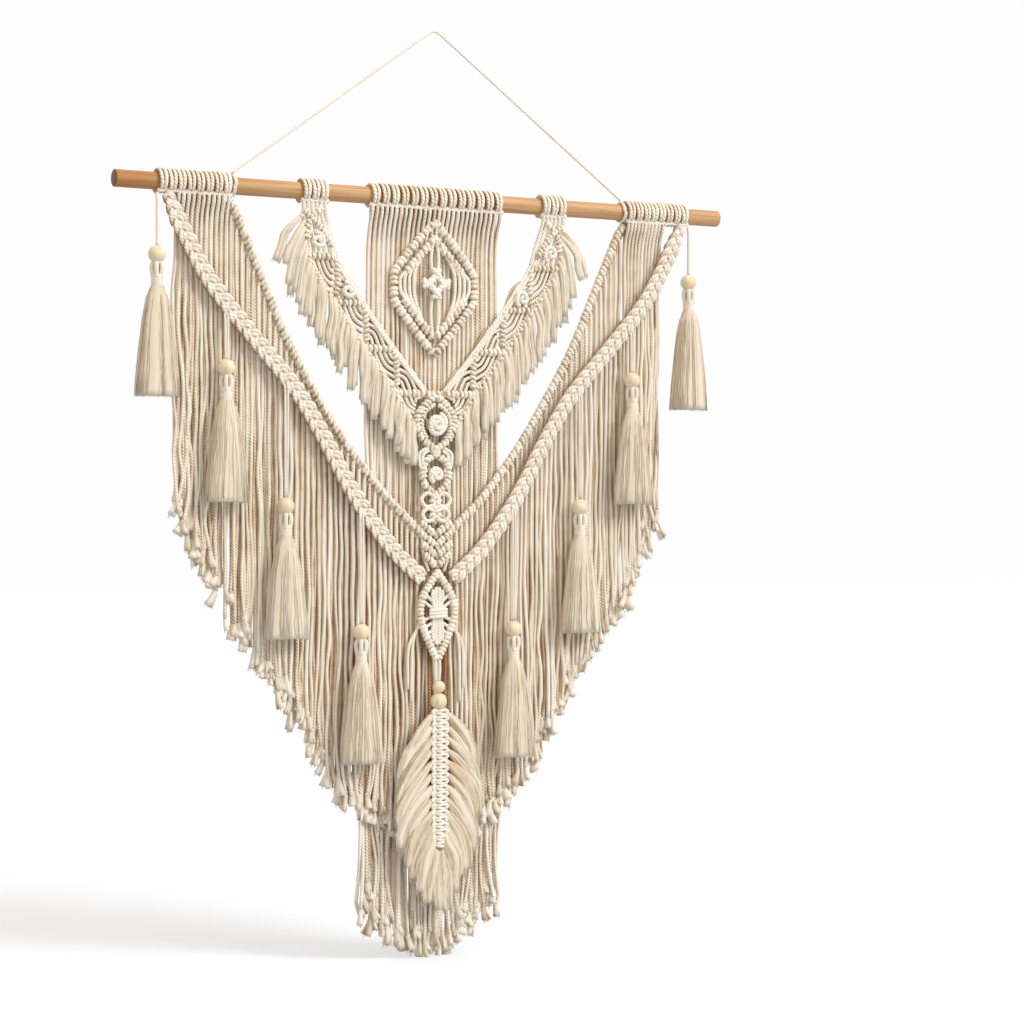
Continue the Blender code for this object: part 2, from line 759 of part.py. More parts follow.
def build_garland_fringe(name, side, cotton):
    """Make the fringe of one garland arm on its narrow strip."""
    rings = []
    spots = resample(outer_chain(), 2 * FRINGE_LOCKS + 2)
    for index, spot in enumerate(spots):
        before = spots[max(index - 1, 0)]
        after = spots[min(index + 1, len(spots) - 1)]
        along = Vector((after.x - before.x, 0.0, after.z - before.z)).normalized()
        away = Vector((-along.z, 0.0, along.x))
        ring = []
        for out, forward in FRINGE_STRIP:
            place = Vector((spot.x, GARLAND_Y + forward, spot.z))
            place += away * (FRINGE_PATH_LIFT + out)
            ring.append(Vector((side * place.x, place.y, place.z)))
        rings.append(ring)

    def fall_of(index, root):
        share = index / (FRINGE_LOCKS - 1)
        reach = blend(*FRINGE_REACH, share)
        if share > FRINGE_LAST_SHARE:
            reach = FRINGE_LAST_REACH
        reach += 3.0 * math.sin(index * 2.3)
        flare = 7.0 + 28.0 * max(0.0, 1.0 - 6.5 * share)
        half = FRINGE_LOCK_WIDTH / 2
        y = GARLAND_Y + FRINGE_FORWARD
        return (Row(root.x + side * flare * 0.4, y, root.z - reach * 0.4,
                    half, 2.8),
                Row(root.x + side * flare, y, root.z - reach, half * 0.8, 1.6))

    return merged(name, [comb(rings, 1, FRINGE_LOCKS, fall_of)], cotton)


# --- column, pendant and feather -------------------------------------------
def build_column(cotton):
    """Make the knotted column below the place where the garlands meet."""
    def flat(_x):
        return COLUMN_Y

    solids = [bar((Spot(-9.6, COLUMN_TOP), Spot(9.6, COLUMN_TOP)), 1, flat,
                  BAR_WIDTH, BAR_DEPTH, 2)]
    for side in (-1, 1):
        solids.append(bar(COLUMN_PATH, side,
                          lambda _x: COLUMN_Y + side * CROSSING,
                          CHAIN_WIDTH, BAR_DEPTH, 8))
    solids.append(turned(((8.0, -5.0), (ROSE_RADIUS, -1.2), (8.0, 4.0)), 9,
                         (ROSE_CENTRE.x, COLUMN_Y - 1.0, ROSE_CENTRE.z), "Y"))
    solids.append(bar((Spot(0, COLUMN_TOP + 3.0), Spot(0, COLUMN_JOIN - 3.0)),
                      1, flat, 5.0, 5.0, 4))
    for rise in (-1, 1):
        low = Spot(-WOVEN_REACH, WOVEN_CENTRE.z - WOVEN_REACH * rise)
        high = Spot(WOVEN_REACH, WOVEN_CENTRE.z + WOVEN_REACH * rise)
        solids.append(bar((low, high), 1, flat, 6.0, 6.0, 2))
    solids.append(bar((Spot(0, COLUMN_JOIN), Spot(0, COLUMN_END)), 1,
                      lambda _x: COLUMN_FOOT_Y, 20.0, 10.0, 3))
    return merged("centre_column", solids, cotton)


def build_pendant(cotton):
    """Make the pendant diamond with its wrapped bundle."""
    def flat(_x):
        return PENDANT_Y

    solids = []
    for side in (-1, 1):
        solids.append(bar(PENDANT_PATH, side,
                          lambda _x: PENDANT_Y + side * CROSSING,
                          BAR_WIDTH, BAR_DEPTH, 6))
    solids.append(bar((Spot(0, -446), Spot(0, -530)), 1, flat, 7.0, 6.0, 3))
    solids.append(bar((Spot(-PENDANT_WRAP_HALF, PENDANT_WRAP_Z),
                       Spot(PENDANT_WRAP_HALF, PENDANT_WRAP_Z)),
                      1, flat, 10.0, 7.0, 3))
    return merged("pendant", solids, cotton)


def build_feather(cotton):
    """Make the feather: loop cord, knotted spine and swept locks."""
    def flat(_x):
        return FEATHER_Y

    spine = bar((Spot(0, FEATHER_TOP), Spot(0, SPINE_END)), 1, flat,
                SPINE_WIDTH, SPINE_DEPTH, 10)
    half, deep = THREAD_WIDTH / 2, THREAD_DEPTH / 2
    loop_top = PENDANT_PATH[-1].z - LOOP_SEAT - CLEARANCE
    loop = strand([Row(0, PENDANT_Y - 1.0, loop_top, half, deep),
                   Row(0, FEATHER_Y, SMALL_BEAD_Z + 10.0, half, deep),
                   Row(0, FEATHER_Y, FEATHER_TOP - 4.0, half, deep)])
    solids = [spine, loop]
    for side in (-1, 1):
        for index in range(FEATHER_LOCKS):
            share = index / (FEATHER_LOCKS - 1)
            root = blend(FEATHER_TOP - 6.0, SPINE_END + 3.0, share)
            tip_x = blend(FEATHER_HALF_WIDTH, 6.0, share ** 2.4)
            tip_z = blend(FEATHER_FIRST_TIP, FEATHER_TIP, share ** 0.95)
            solids.append(strand([
                Row(side * 3.0, FEATHER_Y, root, 2.0, 1.6),
                Row(side * blend(3.0, tip_x, 0.58), FEATHER_Y - 1.0,
                    blend(root, tip_z, 0.36), 2.3, 2.2),
                Row(side * tip_x, FEATHER_Y, tip_z, 1.7, 1.4),
            ]))
    return merged("feather", solids, cotton)


def build_bead(name, radius, centre, wood):
    """Make a round bead with a bore from top to bottom."""
    rise = math.sqrt(radius ** 2 - BEAD_BORE ** 2)
    start = math.atan2(rise, BEAD_BORE)
    profile = []
    for step in range(BEAD_STEPS + 1):
        angle = blend(start, -start, step / BEAD_STEPS)
        profile.append((radius * math.cos(angle), radius * math.sin(angle)))
    return merged(name, [turned(profile, BEAD_SIDES, centre, closed=True)],
                  wood)


# --- tassels ---------------------------------------------------------------
def skirt_ring(side, tassel, lock, stage):
    """Return the four corners of one lock at one height of the skirt."""
    drop, size = stage
    middle = math.tau * (lock + 0.5) / TASSEL_LOCKS
    spread = math.tau / TASSEL_LOCKS / 2 * LOCK_SHARE
    root = tassel.bead_z + HEAD_PROFILE[-1][1]
    end = tassel.bead_z - TASSEL_LENGTH
    z = blend(root, end, drop) + 2.0 * drop * math.sin(lock * 1.9)
    ring = []
    for turn, inset in ((-spread, 0.0), (spread, 0.0),
                        (spread, SKIRT_THICKNESS), (-spread, SKIRT_THICKNESS)):
        wide = SKIRT_HALF_WIDTH * size - inset
        deep = SKIRT_HALF_DEPTH * size - inset
        ring.append((side * tassel.x + wide * math.cos(middle + turn),
                     tassel.skirt_y + deep * math.sin(middle + turn), z))
    return ring


def build_tassel(name, side, tassel, cotton):
    """Make one tassel: knotted head, wrapped neck and skirt of locks."""
    mesh = bmesh.new()
    rings = []
    for radius, height in HEAD_PROFILE:
        ring = []
        for lock in range(TASSEL_LOCKS):
            angle = math.tau * lock / TASSEL_LOCKS
            ring.append(mesh.verts.new((
                side * tassel.x + radius * math.cos(angle),
                tassel.bead_y + radius * math.sin(angle),
                tassel.bead_z + height)))
        rings.append(ring)
    bridge(mesh, rings[:-1], ends=(True, False))
    mesh.faces.new(rings[-1])
    for lock in range(TASSEL_LOCKS):
        after = (lock + 1) % TASSEL_LOCKS
        last = [rings[-2][lock], rings[-2][after], rings[-1][after],
                rings[-1][lock]]
        for stage in SKIRT_STAGES:
            ring = [mesh.verts.new(spot)
                    for spot in skirt_ring(side, tassel, lock, stage)]
            for i in range(4):
                j = (i + 1) % 4
                mesh.faces.new((last[i], last[j], ring[j], ring[i]))
            last = ring
        mesh.faces.new(last)
    bmesh.ops.recalc_face_normals(mesh, faces=mesh.faces)
    return merged(name, [mesh], cotton)


def main():
    """Build every piece of the hanging."""
    clear_scene()
    cotton = make_material("cotton_cord", COTTON, 0.9)
    brushed = make_material("cotton_brushed", COTTON_LIGHT, 0.95)
    dowel_wood = make_material("dowel_wood", DOWEL_BROWN, 0.5)
    bead_wood = make_material("bead_wood", BEAD_STRAW, 0.45)

    build_dowel(dowel_wood)
    build_hanging_cord(cotton)
    build_centre_panel(cotton)
    build_column(cotton)
    build_pendant(cotton)
    build_feather(brushed)
    build_bead("feather_bead_small", SMALL_BEAD_RADIUS,
               (0, FEATHER_Y, SMALL_BEAD_Z), bead_wood)
    build_bead("feather_bead_large", BEAD_RADIUS,
               (0, FEATHER_Y, LARGE_BEAD_Z), bead_wood)
    for word, side in (("left", -1), ("right", 1)):
        build_tie(f"{word}_tie", side, cotton)
        build_wing(f"{word}_wing", side, cotton)
        build_braid(f"{word}_braid", side, cotton)
        build_garland(f"{word}_garland", side, cotton)
        build_garland_fringe(f"{word}_garland_fringe", side, brushed)
        for number, tassel in enumerate(TASSELS, start=1):
            centre = (side * tassel.x, tassel.bead_y, tassel.bead_z)
            build_tassel(f"{word}_tassel_{number}", side, tassel, brushed)
            build_bead(f"{word}_bead_{number}", BEAD_RADIUS, centre, bead_wood)


main()
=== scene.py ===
"""Looks of a macrame wall hanging: cotton cords, knots, brushed fringe, wood.

The work hangs from the top of a cord tied to a wooden dowel.  Every size is in
millimetres.  X runs along the dowel from the middle of the work, y is the depth
with the room at minus, and z is measured from the dowel's axis.  The left and
the right side share one table of sizes, in which x counts outwards.
"""
import logging
import math
from dataclasses import dataclass, replace
from enum import Enum
from typing import Callable, Sequence

import bpy
import numpy as np
from mathutils import Matrix, Vector


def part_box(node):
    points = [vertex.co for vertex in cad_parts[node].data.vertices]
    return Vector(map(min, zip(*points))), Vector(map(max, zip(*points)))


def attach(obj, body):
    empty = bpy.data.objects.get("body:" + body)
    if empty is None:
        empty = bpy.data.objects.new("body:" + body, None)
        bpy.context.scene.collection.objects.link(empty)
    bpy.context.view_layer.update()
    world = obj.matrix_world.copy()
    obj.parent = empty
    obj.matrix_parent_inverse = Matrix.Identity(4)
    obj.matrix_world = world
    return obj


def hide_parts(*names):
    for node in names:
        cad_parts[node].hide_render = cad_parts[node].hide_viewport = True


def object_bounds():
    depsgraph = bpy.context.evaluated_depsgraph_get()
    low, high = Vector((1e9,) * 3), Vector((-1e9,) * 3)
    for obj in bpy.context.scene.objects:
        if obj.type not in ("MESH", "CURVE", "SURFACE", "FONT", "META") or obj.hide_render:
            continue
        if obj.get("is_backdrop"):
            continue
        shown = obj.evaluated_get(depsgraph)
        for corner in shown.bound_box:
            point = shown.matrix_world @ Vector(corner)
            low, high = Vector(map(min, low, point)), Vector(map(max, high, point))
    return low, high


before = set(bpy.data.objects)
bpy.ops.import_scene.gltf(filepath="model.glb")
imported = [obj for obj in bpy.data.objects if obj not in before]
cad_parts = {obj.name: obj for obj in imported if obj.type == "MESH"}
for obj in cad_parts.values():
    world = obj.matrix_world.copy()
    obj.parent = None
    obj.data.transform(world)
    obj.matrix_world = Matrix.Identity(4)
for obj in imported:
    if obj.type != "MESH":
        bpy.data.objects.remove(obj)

LOG = logging.getLogger("macrame")
BODY = "root"
MM = 0.001
FRONT = np.array((0.0, -1.0, 0.0))

# The mesh's own maps: place on the strand, and tone from deep to light, which holds random
# tone and painted light and shade.
STRAND_MAP = "strand"
TONE = "tone"
# Painted light and shade: how much lighter a crest of the section is, and deeper a hollow,
# per share of the radius.
CREST_PAINTED_LIGHT = 1.6
# Painted shadow: the dark tone of the cords that only fill the ground behind others, where
# shade falls.
SHADOW_TONE = 0.3
# Edges of the wood that are steeper than this stay sharp.
SHARP = math.radians(40)

Path = Sequence[tuple[float, float]]
Coordinate = np.ndarray | float
Feed = bpy.types.NodeSocket | Sequence[float] | float


class Side(Enum):
    """The two mirrored halves of the work."""

    LEFT = -1
    RIGHT = 1

    @property
    def word(self) -> str:
        """Return the side's name in lower case."""
        return self.name.lower()


class Slot(Enum):
    """The material slots of the work."""

    CORD = "cotton_cord"
    BRUSHED = "brushed_cotton"
    DOWEL = "dowel_wood"
    BEAD = "bead_wood"


# --- lines ------------------------------------------------------------------
def spline(knots: np.ndarray, count: int) -> np.ndarray:
    """Sample smooth curves that pass through rows of knots.

    Args:
        knots: Points of shape (..., rows, 3).
        count: Number of samples on each curve.

    Returns:
        Points of shape (..., count, 3).
    """
    knots = np.asarray(knots, float)
    before = 2 * knots[..., :1, :] - knots[..., 1:2, :]
    after = 2 * knots[..., -1:, :] - knots[..., -2:-1, :]
    ends = np.concatenate((before, knots, after), axis=-2)
    share = np.linspace(0, knots.shape[-2] - 1, count)
    leg = np.minimum(share.astype(int), knots.shape[-2] - 2)
    t = (share - leg)[:, None]
    a, b, c, d = (ends[..., leg + step, :] for step in range(4))
    return 0.5 * (2 * b + (c - a) * t + (2 * a - 5 * b + 4 * c - d) * t ** 2
                  + (3 * b - a - 3 * c + d) * t ** 3)


def lengths_along(line: np.ndarray) -> np.ndarray:
    """Return the length from a line's start to each of its points."""
    steps = np.linalg.norm(np.diff(line, axis=0), axis=1)
    return np.concatenate(([0.0], np.cumsum(steps)))


def read_off(goals: np.ndarray, known: np.ndarray, rows: np.ndarray) -> np.ndarray:
    """Read points between rows of points that are known at some places."""
    return np.stack([np.interp(goals, known, rows[:, axis]) for axis in range(3)],
                    axis=-1)


def at_lengths(line: np.ndarray, goals: np.ndarray) -> np.ndarray:
    """Return the points of a line that lie at given lengths from its start."""
    return read_off(goals, lengths_along(line), line)


def evenly(line: np.ndarray, spacing: float) -> np.ndarray:
    """Return points about spacing apart on a line, its ends included."""
    total = lengths_along(line)[-1]
    return at_lengths(line, np.linspace(0, total, max(int(total / spacing), 2) + 1))


def unit(vectors: np.ndarray) -> np.ndarray:
    """Return vectors at length one."""
    size = np.linalg.norm(vectors, axis=-1, keepdims=True)
    return vectors / np.maximum(size, 1e-9)


def carried(along: np.ndarray) -> np.ndarray:
    """Carry a side direction down each line without letting it spin.

    Args:
        along: Unit directions of shape (lines, rows, 3).

    Returns:
        Unit vectors square to them, of the same shape.
    """
    guess = np.where(np.abs(along[:, 0, 1:2]) < 0.8, (0.0, 1.0, 0.0),
                     (1.0, 0.0, 0.0))
    across = np.empty_like(along)
    last = unit(np.cross(along[:, 0], guess))
    for row in range(along.shape[1]):
        here = along[:, row]
        last = unit(last - here * np.sum(last * here, axis=-1, keepdims=True))
        across[:, row] = last
    return across


def height_at(path: Path, reach: np.ndarray) -> np.ndarray:
    """Read the height of a line of (x, z) pairs at distances from the middle."""
    spots = np.array(sorted(path), float)
    return np.interp(reach, spots[:, 0], spots[:, 1])


def points(x: Coordinate, y: Coordinate, z: Coordinate) -> np.ndarray:
    """Join coordinates, each a number or an array, into points in space."""
    return np.stack(np.broadcast_arrays(x, y, z), axis=-1)


def in_space(path: Path, side: Side, depth: Callable[[float], float] | float,
             ) -> np.ndarray:
    """Turn (x, z) pairs of one side into points in space."""
    return np.array([(side.value * x, depth(x) if callable(depth) else depth, z)
                     for x, z in path], float)


# --- meshes -----------------------------------------------------------------
def dowel_sizes() -> tuple[float, float]:
    """Return the dowel's radius and its axis' drop from the hanging point, in mm."""
    low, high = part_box("dowel")
    return (high.z - low.z) / 2 / MM, -(low.z + high.z) / 2 / MM


DOWEL_RADIUS, HANG_DROP = dowel_sizes()
# Room between the dowel and a cord that is knotted on it.
DOWEL_ROOM = 0.3


def put_in_scene(name: str, data: bpy.types.ID) -> bpy.types.Object:
    """Return a new object of the scene that shows some data."""
    thing = bpy.data.objects.new(name, data)
    bpy.context.scene.collection.objects.link(thing)
    return thing


def settle(thing: bpy.types.Object, material: bpy.types.Material, slot: Slot,
           *nodes: str) -> None:
    """Give a piece its finish, its body and the CAD nodes it stands for."""
    thing.data.materials.clear()
    thing.data.materials.append(material)
    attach(thing, BODY)
    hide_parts(*nodes)
    faces = sum(len(face.vertices) - 2 for face in thing.data.polygons)
    LOG.info("%s: %d triangles", thing.name, faces)


class Skein:
    """Gathers swept cords and turns them into one mesh."""

    def __init__(self, name: str, seed: int) -> None:
        """Start an empty skein with its own random draws."""
        self.name = name
        self.random = np.random.default_rng(seed)
        self._points: list[np.ndarray] = []
        self._tones: list[np.ndarray] = []
        self._faces: list[np.ndarray] = []
        self._turns: list[np.ndarray] = []
        self._size = 0

    def lay(self, lines: np.ndarray, radius: float | np.ndarray, sides: int = 8,
            flat: float | np.ndarray = 1.0, facing: np.ndarray | None = None,
            tone: float | np.ndarray = 0.5, girth: float = 1.0,
            ripple: np.ndarray | None = None, edge: float = 0.0,
            rear: float = 0.0) -> None:
        """Sweep a closed tube along each line.

        Args:
            lines: Points of shape (rows, 3) or (lines, rows, 3).
            radius: Radius, one or an array that fits (lines, rows).
            sides: Corners of the section.
            flat: Thickness as a share of the width, fitting (lines, rows).
            facing: Direction in which the section is thin.
            tone: Shade from 0, deep, to 1, light, fitting (lines, rows).
            girth: What the strand map counts once around the section.
            ripple: Factors on the radius, of shape (lines, rows, sides).
            edge: How much deeper the tone is beside the section's middle: painted shade
                where cords touch.
            rear: How much deeper the tone is on the side away from the facing direction:
                painted shade on the cord's back.
        """
        lines = np.asarray(lines, float)
        if lines.ndim == 2:
            lines = lines[None]
        count, rows, _ = lines.shape
        radii = np.broadcast_to(radius, (count, rows))[..., None, None]
        flats = np.broadcast_to(flat, (count, rows))[..., None, None]
        swell = np.ones((count, rows, sides)) if ripple is None else ripple
        along = unit(np.gradient(lines, axis=1))
        if facing is None:
            across = carried(along)
        else:
            across = unit(np.cross(np.broadcast_to(facing, lines.shape), along))
        outward = np.cross(along, across)
        angles = math.tau * (np.arange(sides) + 0.5) / sides
        ring = (across[:, :, None] * np.cos(angles)[:, None]
                + outward[:, :, None] * np.sin(angles)[:, None] * flats)
        skin = lines[:, :, None] + ring * radii * swell[..., None]
        self._points.append(skin.reshape(-1, 3))
        tones = np.broadcast_to(tone, (count, rows))[..., None]
        # Painted shade beside the section's middle and on its back, painted light on
        # crests and painted shade in hollows of the ripple.
        beside = (edge * np.abs(np.cos(angles)) ** 3
                  - rear * np.clip(-np.sin(angles), 0, 1))
        self._tones.append((tones + CREST_PAINTED_LIGHT * (swell - 1) - beside).ravel())
        self._add_faces(lines, sides, girth)
        self._size += count * rows * sides

    def _add_faces(self, lines: np.ndarray, sides: int, girth: float) -> None:
        """Add the side faces and the two end faces of each tube."""
        count, rows, _ = lines.shape
        index = self._size + np.arange(count * rows * sides).reshape(
            count, rows, sides)
        after = np.roll(index, -1, axis=2)
        quads = np.stack((index[:, :-1], after[:, :-1], after[:, 1:],
                          index[:, 1:]), axis=-1)
        steps = np.linalg.norm(np.diff(lines, axis=1), axis=2)
        run = np.concatenate((np.zeros((count, 1)), np.cumsum(steps, axis=1)), 1)
        run += self.random.uniform(0, 40, (count, 1))
        turn = girth * np.arange(sides) / sides
        step = girth / sides
        low, high = run[:, :-1, None], run[:, 1:, None]
        corners = [np.stack(np.broadcast_arrays(*corner), axis=-1)
                   for corner in ((turn, low), (turn + step, low),
                                  (turn + step, high), (turn, high))]
        self._faces.append(quads.reshape(-1, 4))
        self._turns.append(np.stack(corners, axis=-2).reshape(-1, 2))
        for ends in (index[:, 0, ::-1], index[:, -1]):
            self._faces.append(ends.reshape(-1, sides))
            self._turns.append(np.zeros((count * sides, 2)))

    def thread(self, knots: Sequence, count: int, radius: float,
               **form: object) -> None:
        """Sweep one smooth cord of count points through knots in space."""
        self.lay(spline(np.array(knots, float), count), radius, **form)

    def piece(self, material: bpy.types.Material, slot: Slot, *nodes: str,
              ) -> bpy.types.Object:
        """Make the object, dress it and let it stand for CAD nodes.

        Args:
            material: Finish of the whole mesh.
            slot: Material slot; not used.
            *nodes: CAD nodes that the object stands for.

        Returns:
            The new object.
        """
        mesh = bpy.data.meshes.new(self.name)
        places = (np.concatenate(self._points) * MM
                  - (0, 0, HANG_DROP * MM)).astype(np.float32)
        mesh.vertices.add(len(places))
        mesh.vertices.foreach_set("co", places.ravel())
        sizes = np.concatenate([np.full(len(face), face.shape[1])
                                for face in self._faces])
        corners = np.concatenate([face.ravel() for face in self._faces])
        mesh.loops.add(len(corners))
        mesh.loops.foreach_set("vertex_index", corners.astype(np.int32))
        mesh.polygons.add(len(sizes))
        starts = np.concatenate(([0], np.cumsum(sizes)[:-1]))
        mesh.polygons.foreach_set("loop_start", starts.astype(np.int32))
        mesh.polygons.foreach_set("use_smooth", np.ones(len(sizes), bool))
        mesh.update(calc_edges=True)
        turns = np.concatenate(self._turns).astype(np.float32)
        mesh.uv_layers.new(name=STRAND_MAP).data.foreach_set("uv", turns.ravel())
        tones = np.concatenate(self._tones).astype(np.float32)
        mesh.attributes.new(TONE, "FLOAT", "POINT").data.foreach_set("value", tones)
        thing = put_in_scene(self.name, mesh)
        settle(thing, material, slot, *nodes)
        return thing


# --- finishes ---------------------------------------------------------------
def linear(colour: str) -> tuple[float, float, float, float]:
    """Turn an sRGB hex colour into linear red, green, blue and alpha."""
    shares = [int(colour[start:start + 2], 16) / 255 for start in (1, 3, 5)]
    return (*[share / 12.92 if share <= 0.04045
              else ((share + 0.055) / 1.055) ** 2.4 for share in shares], 1.0)


def add_node(tree: bpy.types.NodeTree, kind: str, inputs: dict | None = None,
             **properties: object) -> bpy.types.Node:
    """Add a node with its properties, values and links.

    Args:
        tree: Node tree that the node joins.
        kind: Blender's name for the node, without its ShaderNode prefix.
        inputs: Values and sockets that feed its inputs, by name or place.
        **properties: Values of the node's own properties.

    Returns:
        The new node.
    """
    node = tree.nodes.new("ShaderNode" + kind)
    for name, value in properties.items():
        setattr(node, name, value)
    for name, value in (inputs or {}).items():
        if isinstance(value, bpy.types.NodeSocket):
            tree.links.new(value, node.inputs[name])
        else:
            node.inputs[name].default_value = value
    return node


def sum_of(tree: bpy.types.NodeTree, source: Feed, factor: Feed, addend: Feed,
           **properties: object) -> bpy.types.NodeSocket:
    """Return source times factor plus addend, each a number or a socket."""
    return add_node(tree, "Math", {0: source, 1: factor, 2: addend},
                    operation="MULTIPLY_ADD", **properties).outputs[0]


def mix(tree: bpy.types.NodeTree, factor: Feed, first: Feed, second: Feed,
        blend: str = "MIX") -> bpy.types.NodeSocket:
    """Return the mix of two colours, each linear or a socket."""
    return add_node(tree, "Mix", {0: factor, 6: first, 7: second},
                    data_type="RGBA", blend_type=blend).outputs[2]


def ramp(tree: bpy.types.NodeTree, factor: bpy.types.NodeSocket,
         *stops: tuple[float, str]) -> bpy.types.NodeSocket:
    """Return the colour output of a ramp through sRGB stops."""
    node = add_node(tree, "ValToRGB", {"Fac": factor})
    elements = node.color_ramp.elements
    while len(elements) < len(stops):
        elements.new(0.5)
    for element, (place, colour) in zip(elements, stops):
        element.position = place
        element.color = linear(colour)
    return node.outputs["Color"]


def start_material(name: str, **values: Feed) -> tuple[
        bpy.types.Material, bpy.types.NodeTree, bpy.types.Node]:
    """Start a material.

    Args:
        name: Name of the material.
        **values: Values of the shader's inputs, with underscores for spaces.

    Returns:
        The material, its node tree and its shader.
    """
    material = bpy.data.materials.new(name)
    material.use_nodes = True
    shader = material.node_tree.nodes["Principled BSDF"]
    for socket, value in values.items():
        shader.inputs[socket.replace("_", " ")].default_value = value
    return material, material.node_tree, shader


def cover(tree: bpy.types.NodeTree, shader: bpy.types.Node,
          colour: bpy.types.NodeSocket, height: bpy.types.NodeSocket,
          strength: float, depth: float) -> None:
    """Feed a shader its colour and a relief of some depth in mm."""
    bump = add_node(tree, "Bump", {"Strength": strength, "Distance": depth * MM,
                                   "Height": height})
    tree.links.new(colour, shader.inputs["Base Color"])
    tree.links.new(bump.outputs[0], shader.inputs["Normal"])


@dataclass(frozen=True)
class Cotton:
    """Undyed matt cotton, coloured by the mesh's tone with its painted shade, by patches
    and by fibres.

    The strand map counts turns, or millimetres, around a cord and millimetres
    along it.
    """

    name: str
    deep: str
    middle: str
    light: str
    patchy: float = 0.44
    streaky: float = 0.3
    # Painted shade in the grooves of the twist: the tone deepens with the plies' wave.
    ply_groove_shade: float = 0.0
    relief: float = 0.7
    depth: float = 1.0
    roughness: float = 0.92
    sheen: float = 0.25
    gloss: float = 0.2

    def fibres(self, tree: bpy.types.NodeTree, strand: bpy.types.NodeSocket,
               ) -> tuple[bpy.types.NodeSocket, bpy.types.NodeSocket | None]:
        """Return the noise of the fibres and the wave of the twist, if any."""
        raise NotImplementedError

    def material(self) -> bpy.types.Material:
        """Return the cotton's material."""
        material, tree, shader = start_material(
            self.name, Roughness=self.roughness, Sheen_Weight=self.sheen,
            Sheen_Roughness=0.6, Specular_IOR_Level=self.gloss)
        strand = add_node(tree, "UVMap", uv_map=STRAND_MAP)
        fibres, wave = self.fibres(tree, strand.outputs[0])
        where = add_node(tree, "TexCoord").outputs["Object"]
        patches = add_node(tree, "TexNoise", {"Vector": where, "Scale": 60.0,
                                              "Detail": 3.0}).outputs[0]
        shade = add_node(tree, "Attribute", attribute_name=TONE).outputs["Fac"]
        for source, share in ((patches, self.patchy), (fibres, self.streaky)):
            drift = sum_of(tree, source, share, -share / 2)
            shade = sum_of(tree, drift, 1.0, shade)
        height = fibres
        if wave is not None:
            shade = sum_of(tree, wave, self.ply_groove_shade, shade)
            height = sum_of(tree, wave, 0.5, fibres)
        colour = ramp(tree, shade, (0.0, self.deep), (0.5, self.middle),
                      (1.0, self.light))
        cover(tree, shader, colour, height, self.relief, self.depth)
        return material


@dataclass(frozen=True)
class CottonCord(Cotton):
    """Unbleached cotton cord, spun and twisted: matt, with turns of fibre.

    Its plies lie side by side, and each takes twist millimetres for one turn.
    """

    ply_groove_shade: float = 0.11
    plies: int = 3
    twist: float = 11.0

    def fibres(self, tree: bpy.types.NodeTree, strand: bpy.types.NodeSocket,
               ) -> tuple[bpy.types.NodeSocket, bpy.types.NodeSocket]:
        """Return fibres that wind with the twist, and the wave of its plies."""
        around, along, _ = add_node(tree, "SeparateXYZ", {0: strand}).outputs
        turns = sum_of(tree, along, 1 / self.twist, around)
        phase = sum_of(tree, turns, self.plies * math.tau, 0.0)
        wave = add_node(tree, "Math", {0: phase}, operation="SINE")
        wound = add_node(tree, "CombineXYZ", {0: turns, 1: along})
        spread = add_node(tree, "VectorMath", {0: wound.outputs[0],
                                               1: (14.0, 0.12, 1.0)},
                          operation="MULTIPLY")
        fibres = add_node(tree, "TexNoise", {"Vector": spread.outputs[0],
                                             "Scale": 1.0, "Detail": 2.0})
        return fibres.outputs[0], wave.outputs[0]


@dataclass(frozen=True)
class BrushedCotton(Cotton):
    """Cotton combed out of its twist: soft, a little yellower, no gloss.

    A fibre is far too fine to show, so the combed streaks are drawn about a
    millimetre apart.
    """

    patchy: float = 0.3
    streaky: float = 0.8
    relief: float = 0.4
    depth: float = 0.8
    roughness: float = 0.95
    sheen: float = 0.2
    gloss: float = 0.1
    streaks: tuple[float, float, float] = (0.9, 0.012, 1.0)

    def fibres(self, tree: bpy.types.NodeTree, strand: bpy.types.NodeSocket,
               ) -> tuple[bpy.types.NodeSocket, None]:
        """Return long streaks, without a twist."""
        combed = add_node(tree, "VectorMath", {0: strand, 1: self.streaks},
                          operation="MULTIPLY")
        streaks = add_node(tree, "TexNoise", {
            "Vector": combed.outputs[0], "Scale": 1.0, "Detail": 3.0,
            "Roughness": 0.6, "Distortion": 0.1})
        return streaks.outputs[0], None


